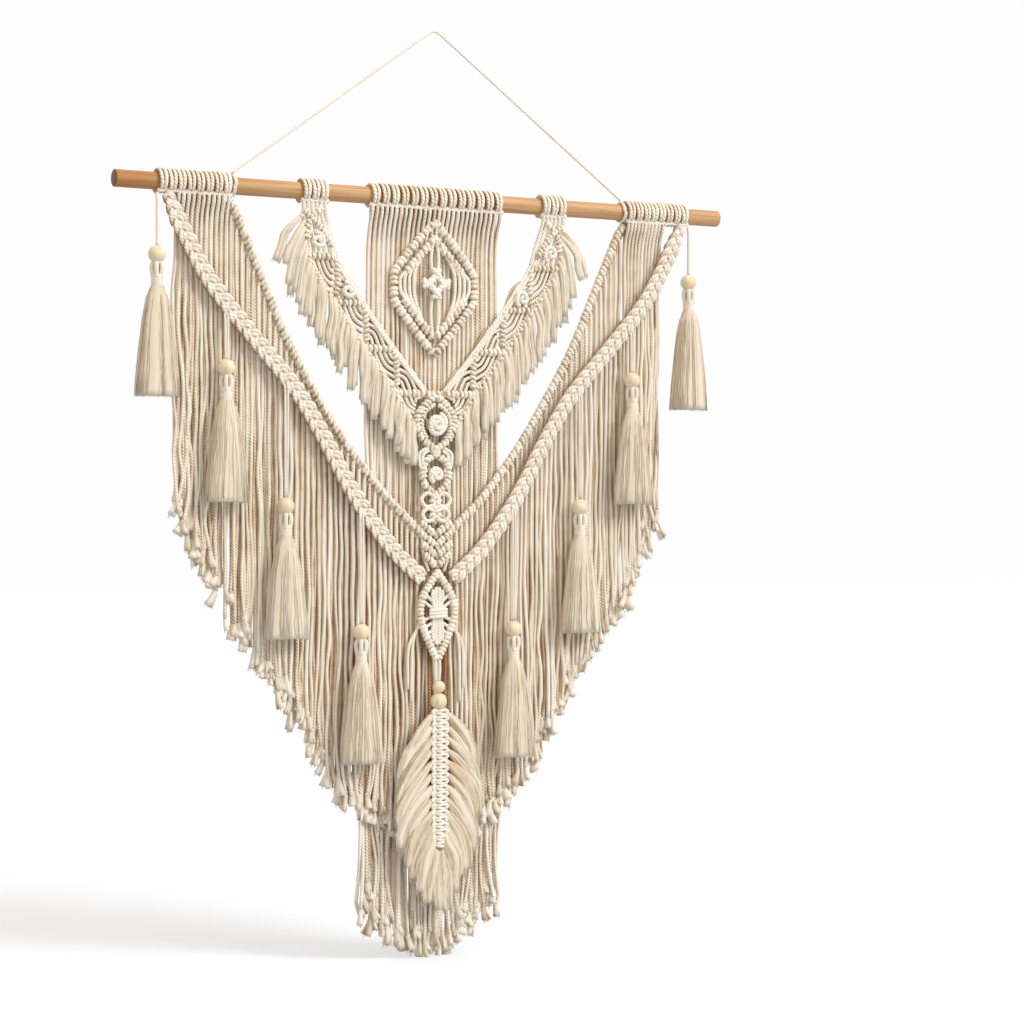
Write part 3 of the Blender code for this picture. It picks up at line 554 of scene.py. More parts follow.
@dataclass(frozen=True)
class Wood:
    """Turned, sanded and oiled wood: fine grain, short pores, a soft sheen.

    A second colour tints it toward the left end, and end grain shows within end_depth of
    both ends of its length, in mm.
    """

    name: str
    dark: str
    light: str
    end_grain: str
    grain: tuple[float, float, float]
    pores: tuple[float, float, float] = (90.0, 900.0, 900.0)
    roughness: float = 0.5
    length: float = 10.0
    left_end_tint: str = "#FFFFFF"
    end_depth: float = 0.6

    def noise(self, tree: bpy.types.NodeTree, where: bpy.types.NodeSocket,
              scale: tuple[float, float, float], detail: float,
              ) -> bpy.types.NodeSocket:
        """Return noise stretched along the grain."""
        stretch = add_node(tree, "VectorMath", {0: where, 1: scale},
                           operation="MULTIPLY")
        return add_node(tree, "TexNoise", {"Vector": stretch.outputs[0],
                                           "Scale": 1.0, "Detail": detail,
                                           "Roughness": 0.6}).outputs[0]

    def material(self) -> bpy.types.Material:
        """Return the wood's material."""
        material, tree, shader = start_material(self.name,
                                                Roughness=self.roughness)
        where = add_node(tree, "TexCoord").outputs["Object"]
        bands = self.noise(tree, where, self.grain, 4.0)
        colour = ramp(tree, bands, (0.32, self.dark), (0.62, self.light))
        pores = ramp(tree, self.noise(tree, where, self.pores, 2.0),
                     (0.27, self.end_grain), (0.36, "#FFFFFF"))
        worn = mix(tree, 0.35, colour, pores, "MULTIPLY")
        along = add_node(tree, "SeparateXYZ", {0: where}).outputs[0]
        reach = add_node(tree, "Math", {0: along}, operation="ABSOLUTE").outputs[0]
        edge = (self.length / 2 - self.end_depth) * MM
        at_end = add_node(tree, "Math", {0: reach, 1: edge},
                          operation="GREATER_THAN").outputs[0]
        leftward = sum_of(tree, along, -8.0, -2.0, use_clamp=True)
        tinted = mix(tree, leftward, worn, linear(self.left_end_tint), "MULTIPLY")
        cover(tree, shader, mix(tree, at_end, tinted, linear(self.end_grain)),
              bands, 0.2, 0.2)
        return material


class Finishes:
    """The materials of the whole work."""

    def __init__(self) -> None:
        """Mix every material once."""
        self.cord = CottonCord("twisted_cotton_cord", "#A0693A", "#ECDFC9",
                               "#FEF9F1").material()
        self.plait = CottonCord("plaited_cotton_cord", "#A0693A", "#E0D5C3",
                                "#F7F1E8", ply_groove_shade=0.08, relief=0.5).material()
        self.brushed = BrushedCotton("brushed_cotton_fibre", "#A97D49", "#DBCEB9",
                                     "#EEE8DD").material()
        self.dowel = Wood("oiled_beech_dowel", "#AA7C4C", "#CBA274", "#6B452A",
                          (9.0, 420.0, 420.0), length=800.0,
                          left_end_tint="#E7D0B2").material()
        self.bead = Wood("raw_birch_bead", "#DCC7A2", "#EEDFC4", "#C9AF85",
                         (120.0, 120.0, 30.0), (300.0, 300.0, 80.0), 0.55,
                         2000.0).material()


# --- ways of laying cord ----------------------------------------------------
@dataclass(frozen=True)
class Tuft:
    """A combed lock: half width and half depth at even steps of its length.

    Clumps are a share of its width.  Loose fibres end within a ragged share of
    its length or somewhat beyond it, and wobble by an angle.
    """

    widths: tuple[float, ...]
    depths: tuple[float, ...]
    sides: int = 16
    rows: int = 12
    clump: float = 0.07
    fibres: int = 40
    fibre: float = 0.42
    ragged: float = 0.10
    beyond: float = 0.02
    wobble: float = 0.04
    # Painted shade: how much deeper the tone is at the lock's sides.
    edge: float = 0.12


# Radius of a loose fibre at even steps of its length, as a share.
FIBRE_TAPER = np.array((0.6, 1.0, 1.0, 1.0, 0.9, 0.5))


def comb_out(skein: Skein, path: Sequence, tuft: Tuft,
             tone: tuple[float, float] = (0.4, 0.7)) -> None:
    """Lay one combed lock: a soft body with loose fibres on and below it.

    Args:
        skein: Skein that takes the lock.
        path: Knots of the lock's middle line, shape (rows, 3).
        tuft: Form of the lock.
        tone: Range of the shade.
    """
    draw = skein.random
    middle = spline(path, tuft.rows)
    share = np.linspace(0, 1, tuft.rows)
    stages = np.linspace(0, 1, len(tuft.widths))
    wide = np.interp(share, stages, tuft.widths)
    deep = np.interp(share, stages, tuft.depths)
    angles = math.tau * (np.arange(tuft.sides) + 0.5) / tuft.sides
    ripple = np.zeros((tuft.rows, tuft.sides))
    for waves in (3, 5, 8):
        phase = draw.uniform(0, math.tau) + draw.normal(0, 1.2) * share[:, None]
        ripple += np.sin(waves * angles + phase)
    ripple = 1 + tuft.clump * ripple / 2 * np.minimum(1, 3 * share)[:, None]
    skein.lay(middle, wide, sides=tuft.sides, flat=deep / wide, facing=FRONT,
              tone=np.mean(tone), girth=math.pi * (wide.max() + deep.max()),
              ripple=ripple[None], edge=tuft.edge)
    along = unit(np.gradient(middle, axis=0))
    across = unit(np.cross(FRONT, along))
    each = (tuft.fibres, 1)
    turn = draw.uniform(0, math.tau, each) + draw.normal(
        0, tuft.wobble, (tuft.fibres, len(FIBRE_TAPER)))
    rim = draw.uniform(0.92, 1.06, each)
    start = draw.uniform(0.0, 0.55, each)
    ends = 1 + tuft.beyond - tuft.ragged * draw.uniform(0, 1, each) ** 2
    reach = start + (ends - start) * np.linspace(0, 1, len(FIBRE_TAPER))
    inner = np.clip(reach, 0, 1)
    x = np.interp(inner, stages, tuft.widths) * np.cos(turn) * rim
    y = np.interp(inner, stages, tuft.depths) * np.sin(turn) * rim
    over = (reach - inner) * lengths_along(middle)[-1]
    lines = (read_off(inner, share, middle)
             + read_off(inner, share, across) * x[..., None]
             + FRONT * y[..., None] + along[-1] * over[..., None])
    skein.lay(lines, tuft.fibre * FIBRE_TAPER, sides=3,
              tone=draw.uniform(tone[0] - 0.1, tone[1] + 0.15, each))


# A brush starts above the cord's end, opens like a bell and gets untidier.
BRUSH_OVERLAP = 5
BRUSH_BELL = np.array((0.95, 1.1, 1.35, 1.6, 1.7))
BRUSH_TOUSLE = 0.6 * np.array((0.0, 0.08, 0.18, 0.3, 0.45))


def fray(skein: Skein, tips: np.ndarray, radius: float, fibres: int = 12) -> None:
    """Open the free ends of cords into small brushes.

    Args:
        skein: Skein that takes the brushes.
        tips: The cords' last points, shape (cords, 3).
        radius: The cords' radius.
        fibres: Loose fibres on each end.
    """
    draw = skein.random
    each = (len(tips), 1)
    lean = draw.normal(0, 1, (len(tips), 3)) * (0.2, 0.08, 0.0)
    reach = draw.uniform(13.0, 26.0, each)
    tone = draw.uniform(0.5, 0.85, each)
    shares = np.linspace(0, 1, len(BRUSH_BELL))
    rows = [tips + lean * reach * share ** 2
            - (0, 0, 1) * (reach * share - BRUSH_OVERLAP) for share in shares]
    bell = radius * (BRUSH_BELL * draw.uniform(0.8, 1.3, each) ** shares)
    tousle = draw.normal(0, 1, (len(tips), 1, 10)) * BRUSH_TOUSLE[:, None]
    skein.lay(np.stack(rows, axis=1), bell, sides=10, flat=0.75, facing=FRONT,
              tone=tone, girth=math.tau * radius * 1.4, ripple=1 + tousle)
    tips, lean, reach, wide, tone = (
        np.repeat(part, fibres, axis=0)
        for part in (tips, lean, reach, bell[:, -2:-1], tone))
    each = (len(tips), 1)
    turn = draw.uniform(0, math.tau, each)
    out = np.concatenate((np.cos(turn), 0.75 * np.sin(turn), 0 * turn), 1) * wide
    past = draw.uniform(0.85, 1.2, each)
    splay = draw.uniform(0.5, 1.05, each)
    rows = [tips + out * wider * splay + lean * reach * share ** 2
            - (0, 0, 1) * (reach * share * past - BRUSH_OVERLAP)
            for share, wider in ((0.25, 0.65), (0.65, 0.9), (1.0, 1.15))]
    skein.lay(np.stack(rows, axis=1), np.array((0.5, 0.5, 0.2)), sides=3,
              tone=tone + draw.uniform(-0.2, 0.25, each))


@dataclass(frozen=True)
class Curtain:
    """Cords that hang side by side.

    They wander sideways and sway in depth at every stage, and curl at the end.
    Edge and rear paint shade on each cord, deeper beside its middle and deeper at its
    back, and the last field paints deeper shade round the work's middle.
    """

    radius: float = 2.1
    rows: int = 44
    stages: int = 10
    wander: float = 1.3
    sway: float = 0.8
    curl: float = 1.2
    sides: int = 6
    taper: float = 0.95
    tone: tuple[float, float] = (0.7, 1.0)
    edge: float = 0.38
    rear: float = 0.0
    middle_shadow: float = 0.08


# Painted light and shade on hanging cords: painted shade deepens them round a point in the
# work's middle, and painted light from the pale floor lightens them where they come close
# to it.
PAINTED_SHADE_HEIGHT = -550
PAINTED_SHADE_REACH = 130
LIT_BELOW = -700
LIT_OVER = 120
PAINTED_FLOOR_LIGHT = 0.14


def first_knots(places: np.ndarray, depth: float, height: float, layer: int,
                ) -> np.ndarray:
    """Return the points where cords leave the dowel and come to hang freely.

    Args:
        places: Places of the cords along the dowel.
        depth: Depth of the front layer where it hangs freely.
        height: Height from which the cords hang freely.
        layer: Layer of cords, 0 in front.

    Returns:
        Points of shape (cords, rows, 3).
    """
    rows = ((-8.0, -12.0), (-7.0, -20.0), (-1.5, -34.0), (depth, height))
    if layer:
        rows = ((-3.0 + 2 * layer, -12.0), (2.0 * layer, -30.0),
                (depth + 2.0 * layer, height))
    return np.stack([points(places, y, z) for y, z in rows], axis=1)


def hang(skein: Skein, tufts: Skein, tops: np.ndarray, feet: np.ndarray,
         form: Curtain, loose: float | np.ndarray = 1.0) -> None:
    """Hang cords from their first knots down to their feet.

    Args:
        skein: Skein that takes the cords.
        tufts: Skein that takes their open ends.
        tops: The first points of each cord, shape (cords, points, 3).
        feet: The last point of each cord, shape (cords, 3).
        form: How the cords hang.
        loose: How much each cord wanders, as a factor.
    """
    draw = skein.random
    count = len(tops)
    last = tops[:, -1]
    knots = [tops[:, row] for row in range(tops.shape[1])]
    drift = np.zeros((count, 2))
    scale = np.broadcast_to(loose, count)[:, None] * (form.wander, form.sway)
    for stage in range(1, form.stages + 1):
        share = stage / form.stages
        row = last + (feet - last) * share
        push = draw.normal(0, 1, (count, 2))
        push = 0.75 * push + 0.5 * np.roll(push, 1, axis=0)
        drift = 0.35 * drift + push * scale * (1 + form.curl * share ** 4)
        row[:, :2] += drift * min(1.0, 3.0 * share)
        knots.append(row)
    lines = spline(np.stack(knots, axis=1), form.rows)
    shares = np.linspace(0, 1, form.rows)
    plump = (draw.uniform(0.86, 1.14, (count, 1))
             + 0.05 * np.sin(draw.uniform(0, 6, (count, 1)) + 40 * shares))
    radius = form.radius * np.interp(shares, (0, 1), (1, form.taper)) * plump
    tone = draw.uniform(*form.tone, (count, 1))
    tone = tone + 0.10 * np.sin(draw.uniform(0, 6, (count, 1)) + 11 * shares)
    # Painted shade round the work's middle, and painted floor light low down.
    x, z = lines[..., 0], lines[..., 2]
    inside = np.exp(-(x / PAINTED_SHADE_REACH) ** 2
                    - ((z - PAINTED_SHADE_HEIGHT) / PAINTED_SHADE_REACH) ** 2)
    low = np.clip((LIT_BELOW - z) / LIT_OVER, 0, 1)
    skein.lay(lines, radius, sides=form.sides, facing=FRONT,
              tone=tone - form.middle_shadow * inside + PAINTED_FLOOR_LIGHT * low,
              edge=form.edge, rear=form.rear)
    fray(tufts, lines[:, -1], form.radius)


@dataclass(frozen=True)
class Hitching:
    """A row of half hitches: its size, its cord and its pitch.

    The wraps slant by some millimetres and stand closer in pairs.
    """

    width: float = 8.0
    depth: float = 8.0
    cord: float = 1.6
    pitch: float = 3.3
    slant: float = -1.2
    pair: float = 0.35
    sides: int = 6
    steps: int = 12
    tone: tuple[float, float] = (0.62, 1.02)


def hitch(skein: Skein, path: np.ndarray, form: Hitching) -> None:
    """Wrap half hitches round a carrying cord.

    Args:
        skein: Skein that takes the cords.
        path: Knots of the carrying cord, shape (rows, 3).
        form: Size of the row.
    """
    line = evenly(spline(path, 12 * len(path)), 1.0)
    total = lengths_along(line)[-1]
    wraps = max(int(total / form.pitch), 1)
    # A wrap lies across the front for half a turn and moves on behind.
    phase = np.linspace(0, wraps, wraps * form.steps + 1)
    whole = np.minimum(np.floor(phase), wraps)
    turn = phase - whole
    shift = np.where(whole % 2 == 1, -form.pair, 0.0)
    moved = np.where((whole + 1) % 2 == 1, -form.pair, 0.0)
    back = np.clip((turn - 0.5) * 2, 0, 1)
    run = (whole + back) * total / wraps + shift * (1 - back) + moved * back
    angle = math.tau * turn
    steep = line[-1] - line[0]
    run -= form.slant * np.cos(angle) * np.sign(steep[0] * steep[2])
    # Both wraps of a knot share its draws.
    knot = (whole // 2).astype(int)
    run += 0.35 * skein.random.normal(0, 1, wraps)[knot] * np.sin(angle)
    middle = at_lengths(line, run)
    along = unit(at_lengths(line, run + 0.5) - at_lengths(line, run - 0.5))
    along = np.where(np.linalg.norm(along, axis=1)[:, None] < 0.5,
                     unit(steep), along)
    across = unit(np.cross(FRONT, along))
    swell = 1 + 0.06 * skein.random.normal(0, 1, wraps)[knot]
    reach = (form.width / 2 - form.cord) * swell
    rise = form.depth / 2 - form.cord
    loops = (middle + across * (reach * np.cos(angle))[:, None]
             + FRONT * (rise * np.sin(angle))[:, None])
    # Painted shade: each wrap is deeper in tone at its sides.
    skein.lay(loops, form.cord * (0.94 + 0.06 * swell), sides=form.sides,
              facing=unit(loops - middle), edge=0.5,
              tone=skein.random.uniform(*form.tone, wraps)[knot])
    # Painted shadow: the carrying cord inside is dark, for the creases between wraps.
    core = min(form.width, form.depth) / 2 - form.cord
    skein.lay(line, core, sides=7, tone=SHADOW_TONE)


def larks_heads(skein: Skein, span: tuple[float, float], count: int,
                sign: int = 1, cord: float = 2.5) -> np.ndarray:
    """Knot folded cords over the dowel, each with its bar in front.

    Args:
        skein: Skein that takes the knots.
        span: Part of the dowel that the knots fill.
        count: Number of knots.
        sign: Which side of the work the span is on, -1 or 1.
        cord: Radius of the cord.

    Returns:
        The places along the dowel where the two legs of each knot leave.
    """
    low, high = span
    pitch = (high - low) / count
    centres = sign * (low + pitch * (np.arange(count) + 0.5))
    ring = DOWEL_RADIUS + cord + DOWEL_ROOM
    draw = skein.random
    # Up the back, over the top, down the front and in behind the bar.
    arc = [*((ring, angle) for angle in range(246, -40, -13)),
           (ring - 0.8, -46), (ring - 3.0, -60)]
    rows = np.array([(0.0, -reach * math.cos(math.radians(angle)),
                      reach * math.sin(math.radians(angle)))
                     for reach, angle in arc])
    loop = evenly(spline(rows, 100), 2.2)
    pinch = np.interp(loop[:, 2], (-12, 6), (1.0, 0.0)) * (loop[:, 1] < 0)
    for leg in (-1, 1):
        lines = np.repeat(loop[None], count, axis=0)
        place = centres + leg * (cord + 0.12 + draw.uniform(0.0, 0.35, count))
        lines[:, :, 0] += place[:, None] - leg * pinch
        lines[:, :, 2] += draw.normal(0, 0.25, (count, 1))
        # Painted shade: each leg is deeper in tone at its sides, where the legs touch.
        skein.lay(lines, cord, facing=unit(lines * (0, 1, 1)), edge=0.75,
                  tone=draw.uniform(0.65, 0.95, (count, 1)))
    # Each bar sags a little between its ends, low on the front of the dowel.
    steep = math.radians(-57)
    shares = np.linspace(-1, 1, 9)
    bars = points(centres[:, None] + (pitch / 2 + 0.5) * shares,
                  0.6 * shares ** 2 - (ring + 1.6) * math.cos(steep),
                  (ring + 1.0) * math.sin(steep) + 1.1 * shares ** 2
                  + 0.5 * shares * draw.normal(0, 1, (count, 1)))
    swell = np.interp(np.abs(shares), (0, 0.55, 1), (0.8, 0.95, 1.35))
    skein.lay(bars, cord * 0.92 * swell, tone=draw.uniform(0.7, 1.0, (count, 1)))
    return np.sort(np.concatenate((centres - pitch / 4, centres + pitch / 4)))


def roll(skein: Skein, centre: Sequence[float], reach: float, cord: float,
         turns: float, start: float = 0.6) -> None:
    """Roll a cord up into a flat rose that faces the room.

    Args:
        skein: Skein that takes the cord.
        centre: Middle of the rose.
        reach: Distance from the middle to the outermost turn.
        cord: Radius of the cord.
        turns: Number of turns.
        start: Angle at which the cord starts.
    """
    turn = np.linspace(0.12, turns, int(28 * turns))
    angle = math.tau * turn + start
    far = reach * (turn / turns) ** 0.85 * (1 + 0.07 * np.sin(2.5 * angle))
    line = points(far * np.cos(angle), 0.35 * far - 0.3 * reach,
                  far * np.sin(angle)) + centre
    skein.lay(line, cord, sides=10, tone=0.85)


# --- wood -------------------------------------------------------------------
def deselect() -> None:
    """Deselect every object and make none active."""
    for thing in bpy.context.selected_objects:
        thing.select_set(False)
    bpy.context.view_layer.objects.active = None


def rest_in_place(thing: bpy.types.Object) -> None:
    """Move an object's place and turn into its mesh."""
    bpy.context.view_layer.update()
    thing.data.transform(thing.matrix_world)
    thing.matrix_world = Matrix.Identity(4)


@dataclass
class Dowel:
    """The round wooden dowel that carries the work."""

    sides: int = 72
    edge: float = 1.4

    def build(self, finishes: Finishes) -> None:
        """Turn the dowel with softened ends."""
        low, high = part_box("dowel")
        deselect()
        bpy.ops.mesh.primitive_cylinder_add(
            vertices=self.sides, radius=(high.z - low.z) / 2,
            depth=high.x - low.x, location=(low + high) / 2,
            rotation=(0.0, math.pi / 2, 0.0))
        dowel = bpy.context.object
        dowel.name = "round_dowel"
        rest_in_place(dowel)
        bevel = dowel.modifiers.new("softened_ends", "BEVEL")
        bevel.width = self.edge * MM
        bevel.segments = 3
        bevel.limit_method = "ANGLE"
        bpy.ops.object.modifier_apply(modifier=bevel.name)
        bpy.ops.object.shade_smooth_by_angle(angle=SHARP)
        settle(dowel, finishes.dowel, Slot.DOWEL, "dowel")


@dataclass
class Bead:
    """A round wooden bead, turned once for each CAD bead."""

    bore: float = 3.0
    segments: int = 32
    rings: int = 18

    def turn(self, name: str, radius: float) -> bpy.types.Object:
        """Turn one bead with its bore, at the origin, in metres."""
        deselect()
        bpy.ops.mesh.primitive_uv_sphere_add(
            segments=self.segments, ring_count=self.rings, radius=radius)
        bead = bpy.context.object
        bead.name = name
        rise = math.sqrt(radius ** 2 - (self.bore * MM) ** 2)
        bpy.ops.object.mode_set(mode="EDIT")
        for sign in (1, -1):
            bpy.ops.mesh.select_all(action="SELECT")
            bpy.ops.mesh.bisect(plane_co=(0, 0, sign * rise),
                                plane_no=(0, 0, sign), clear_outer=True)
        bpy.ops.mesh.select_all(action="DESELECT")
        bpy.ops.mesh.select_non_manifold()
        bpy.ops.mesh.bridge_edge_loops()
        bpy.ops.mesh.select_all(action="SELECT")
        bpy.ops.mesh.normals_make_consistent(inside=False)
        bpy.ops.object.mode_set(mode="OBJECT")
        bpy.ops.object.shade_smooth_by_angle(angle=SHARP)
        return bead

    def build(self, finishes: Finishes) -> None:
        """Put a bead in the place of every CAD bead."""
        for node in sorted(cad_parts):
            if "bead" not in node:
                continue
            low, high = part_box(node)
            bead = self.turn(f"{node}_turned", (high.y - low.y) / 2)
            bead.data.transform(Matrix.Translation((low + high) / 2))
            settle(bead, finishes.bead, Slot.BEAD, node)


# --- the cord that carries the work -----------------------------------------
@dataclass
class HangingCord:
    """The thin cord from tie to tie over the hanging point."""

    route: Path = (
        (-258.5, 14.1), (-246, 23.7), (-205, 53.3), (-160, 85.8), (-115, 118.4),
        (-70, 151.0), (-35, 176.3), (-14, 191.4), (-5, 197.4), (0, 199),
    )
    diameter: float = 3.0

    def build(self, finishes: Finishes) -> None:
        left = in_space(self.route, Side.RIGHT, 0.0)
        knots = np.concatenate((left, left[-2::-1] * (-1, 1, 1)))
        line = spline(knots, 4 * (len(knots) - 1) + 1)
        skein = Skein("thin_hanging_cord", 3)
        skein.lay(line, self.diameter / 2, sides=12, tone=0.8)
        cord = skein.piece(finishes.cord, Slot.CORD, "hanging_cord")


@dataclass
class Tie:
    """The turns of cord that tie one end of the hanging cord."""

    span: tuple[float, float] = (255.5, 261.5)
    cord: float = 1.45
    turns: int = 2

    def build(self, finishes: Finishes, side: Side) -> None:
        """Wind the tie round the dowel."""
        skein = Skein(f"{side.word}_tie_turns", 5)
        reach = DOWEL_RADIUS + self.cord + DOWEL_ROOM
        angles = np.linspace(0, self.turns * math.tau, 24 * self.turns + 1)
        low, high = (side.value * (edge + sign * self.cord)
                     for edge, sign in zip(self.span, (1, -1)))
        skein.lay(points(np.linspace(low, high, len(angles)),
                         -reach * np.cos(angles), reach * np.sin(angles)),
                  self.cord, tone=0.7)
        skein.piece(finishes.cord, Slot.CORD, f"{side.word}_tie")


# --- centre panel -----------------------------------------------------------
# The cords behind the front layer, as the panel and the wings share them; their lower
# tone, deeper back and deeper middle are painted shade.
HIDDEN_MIDDLE = Curtain(radius=2.5, rows=40, wander=1.2, sway=0.6,
                        tone=(0.4, 0.66), rear=0.2, middle_shadow=0.24)
HIDDEN_REAR = Curtain(radius=2.9, rows=40, wander=0.6, sway=0.5,
                      tone=(0.34, 0.6), rear=0.4, middle_shadow=0.24)


@dataclass
class CentrePanel:
    """Lark's heads, long cords and the double diamond with its flower."""

    half_width: float = 87.5
    knots: int = 14
    rear_cords: int = 37
    depth: float = 4.0
    lean: float = 3.0
    fall: Path = ((92, -822), (70, -845), (35, -872), (0, -890))
    outer: Path = ((0, -26), (27, -55), (49, -82), (53, -91), (53, -117),
                   (49, -126), (27, -153), (0, -184))
    inner: Sequence[Path] = (((0, -47), (21, -69), (40, -90)),
                             ((40, -119), (21, -142), (0, -165)))
    centre: float = -100.0
    rows_depth: float = -1.5
    bows: int = 4
    bow_cord: float = 2.35
    bow_shadow_cord: float = 2.6
    darts: Path = ((-52, -88), (-112, -158))
    dart_cord: float = 2.3
    petal: Path = ((3.6, 4.4), (8.5, 3.2), (13.0, -1.2), (17.0, -4.6))
    petal_cord: float = 3.1
    petal_bands: Sequence[tuple[float, float, float]] = (
        (7.4, 6.2, 4.2), (15.4, 5.0, 3.6),
    )
    petal_band_cord: float = 2.6
    layers: Sequence[Curtain] = (
        Curtain(radius=2.15, rows=64, stages=15, wander=1.3, sway=0.6, curl=2.2,
                tone=(0.64, 0.97), edge=0.6),
        replace(HIDDEN_MIDDLE, rows=56, stages=14, sway=0.5, curl=2.2),
        HIDDEN_REAR,
    )
    band: Hitching = Hitching(width=11.4, depth=9.8, cord=3.1, pitch=6.3,
                              slant=-1.8, pair=1.1)

    def build(self, finishes: Finishes) -> None:
        """Make the header with its cords, and the motif."""
        skein = Skein("centre_panel_cords", 11)
        tufts = Skein("centre_panel_tufts", 13)
        half = self.half_width
        legs = larks_heads(skein, (-half, half), self.knots)
        rear = np.linspace(7 - half, half - 7, self.rear_cords)
        places = (legs, (legs[1:] + legs[:-1]) / 2, rear)
        for layer, (xs, form) in enumerate(zip(places, self.layers)):
            hang(skein, tufts, first_knots(xs, self.depth, -62.0, layer),
                 self.feet(xs, skein.random, layer), form)
        skein.piece(finishes.cord, Slot.CORD, "centre_panel")
        tufts.piece(finishes.brushed, Slot.BRUSHED, "centre_panel")
        motif = Skein("centre_panel_diamond", 12)
        self.diamond(motif)
        self.flower(motif)
        motif.piece(finishes.cord, Slot.CORD, "centre_panel")

    def feet(self, xs: np.ndarray, draw: np.random.Generator, layer: int,
             ) -> np.ndarray:
        """Return where the cords that start at xs end."""
        count = len(xs)
        return points(xs * 1.08 + draw.normal(0, 2.2, count),
                      self.depth + self.lean + 1.8 * layer
                      + draw.normal(0, 1.0, count),
                      height_at(self.fall, np.abs(xs)) + 2
                      + draw.uniform(0, 1, count) ** 2 * (26 + 12 * layer))

    def diamond(self, skein: Skein) -> None:
        """Lay the two rows of half hitches and the cords inside them."""
        for side in Side:
            for outline in (self.outer, *self.inner):
                hitch(skein, in_space(outline, side, self.rows_depth), self.band)
            for step in range(self.bows):
                reach, far = 32 - 5.6 * step, 46.0 - 6.2 * step
                high, low = (height_at(row, reach) for row in self.inner)
                bow = [(reach, high - 2), (far - 2, 0.42 * high + 0.58 * self.centre),
                       (far, self.centre), (far - 2, 0.42 * low + 0.58 * self.centre),
                       (reach, low + 2)]
                line = spline(in_space(bow, side, -2.2 + 0.2 * step), 26)
                skein.lay(line, self.bow_cord, tone=0.85, facing=FRONT, edge=0.4)
                # Painted shadow: a dark cord behind each bow.
                skein.lay(line + (side.value * 3.3, 4.4, 0), self.bow_shadow_cord,
                          sides=6, tone=SHADOW_TONE)
            for high, low in self.darts:
                dart = ((3.2, high), (5.0, (high + low) / 2), (3.4, low))
                skein.thread(in_space(dart, side, -2.0), 12, self.dart_cord,
                             tone=0.8, facing=FRONT, edge=0.35)

    def flower(self, skein: Skein) -> None:
        """Lay the four-lobed knot in the middle of the diamond."""
        middle = np.array((0.0, -4.0, self.centre))
        for lobe in range(4):
            angle = math.tau * lobe / 4
            out = np.array((math.sin(angle), 0.0, math.cos(angle)))
            beside = np.array((math.cos(angle), 0.0, -math.sin(angle)))
            for sign, lift in ((-1, 0.0), (1, -1.6)):
                line = spline([out * reach + beside * sign * wide
                               for reach, wide in self.petal], 14) + middle
                line[:, 1] -= np.sin(np.linspace(0.3, math.pi - 0.3, 14)) * 3.0 - lift
                skein.lay(line, self.petal_cord, tone=0.85)
            shares = np.linspace(-1, 1, 9)[:, None]
            for reach, wide, lift in self.petal_bands:
                skein.lay(out * reach + beside * wide * shares
                          + FRONT * (lift - 2.2 * shares ** 2) + middle,
                          self.petal_band_cord, tone=0.95)


# --- wings ------------------------------------------------------------------
WING_STEP = (96.0, 126.0)


def stepped(near: float, far: float) -> Callable[[float], float]:
    """Return a depth that changes where the wings pass the centre panel."""
    return lambda x: float(np.interp(x, WING_STEP, (near, far)))


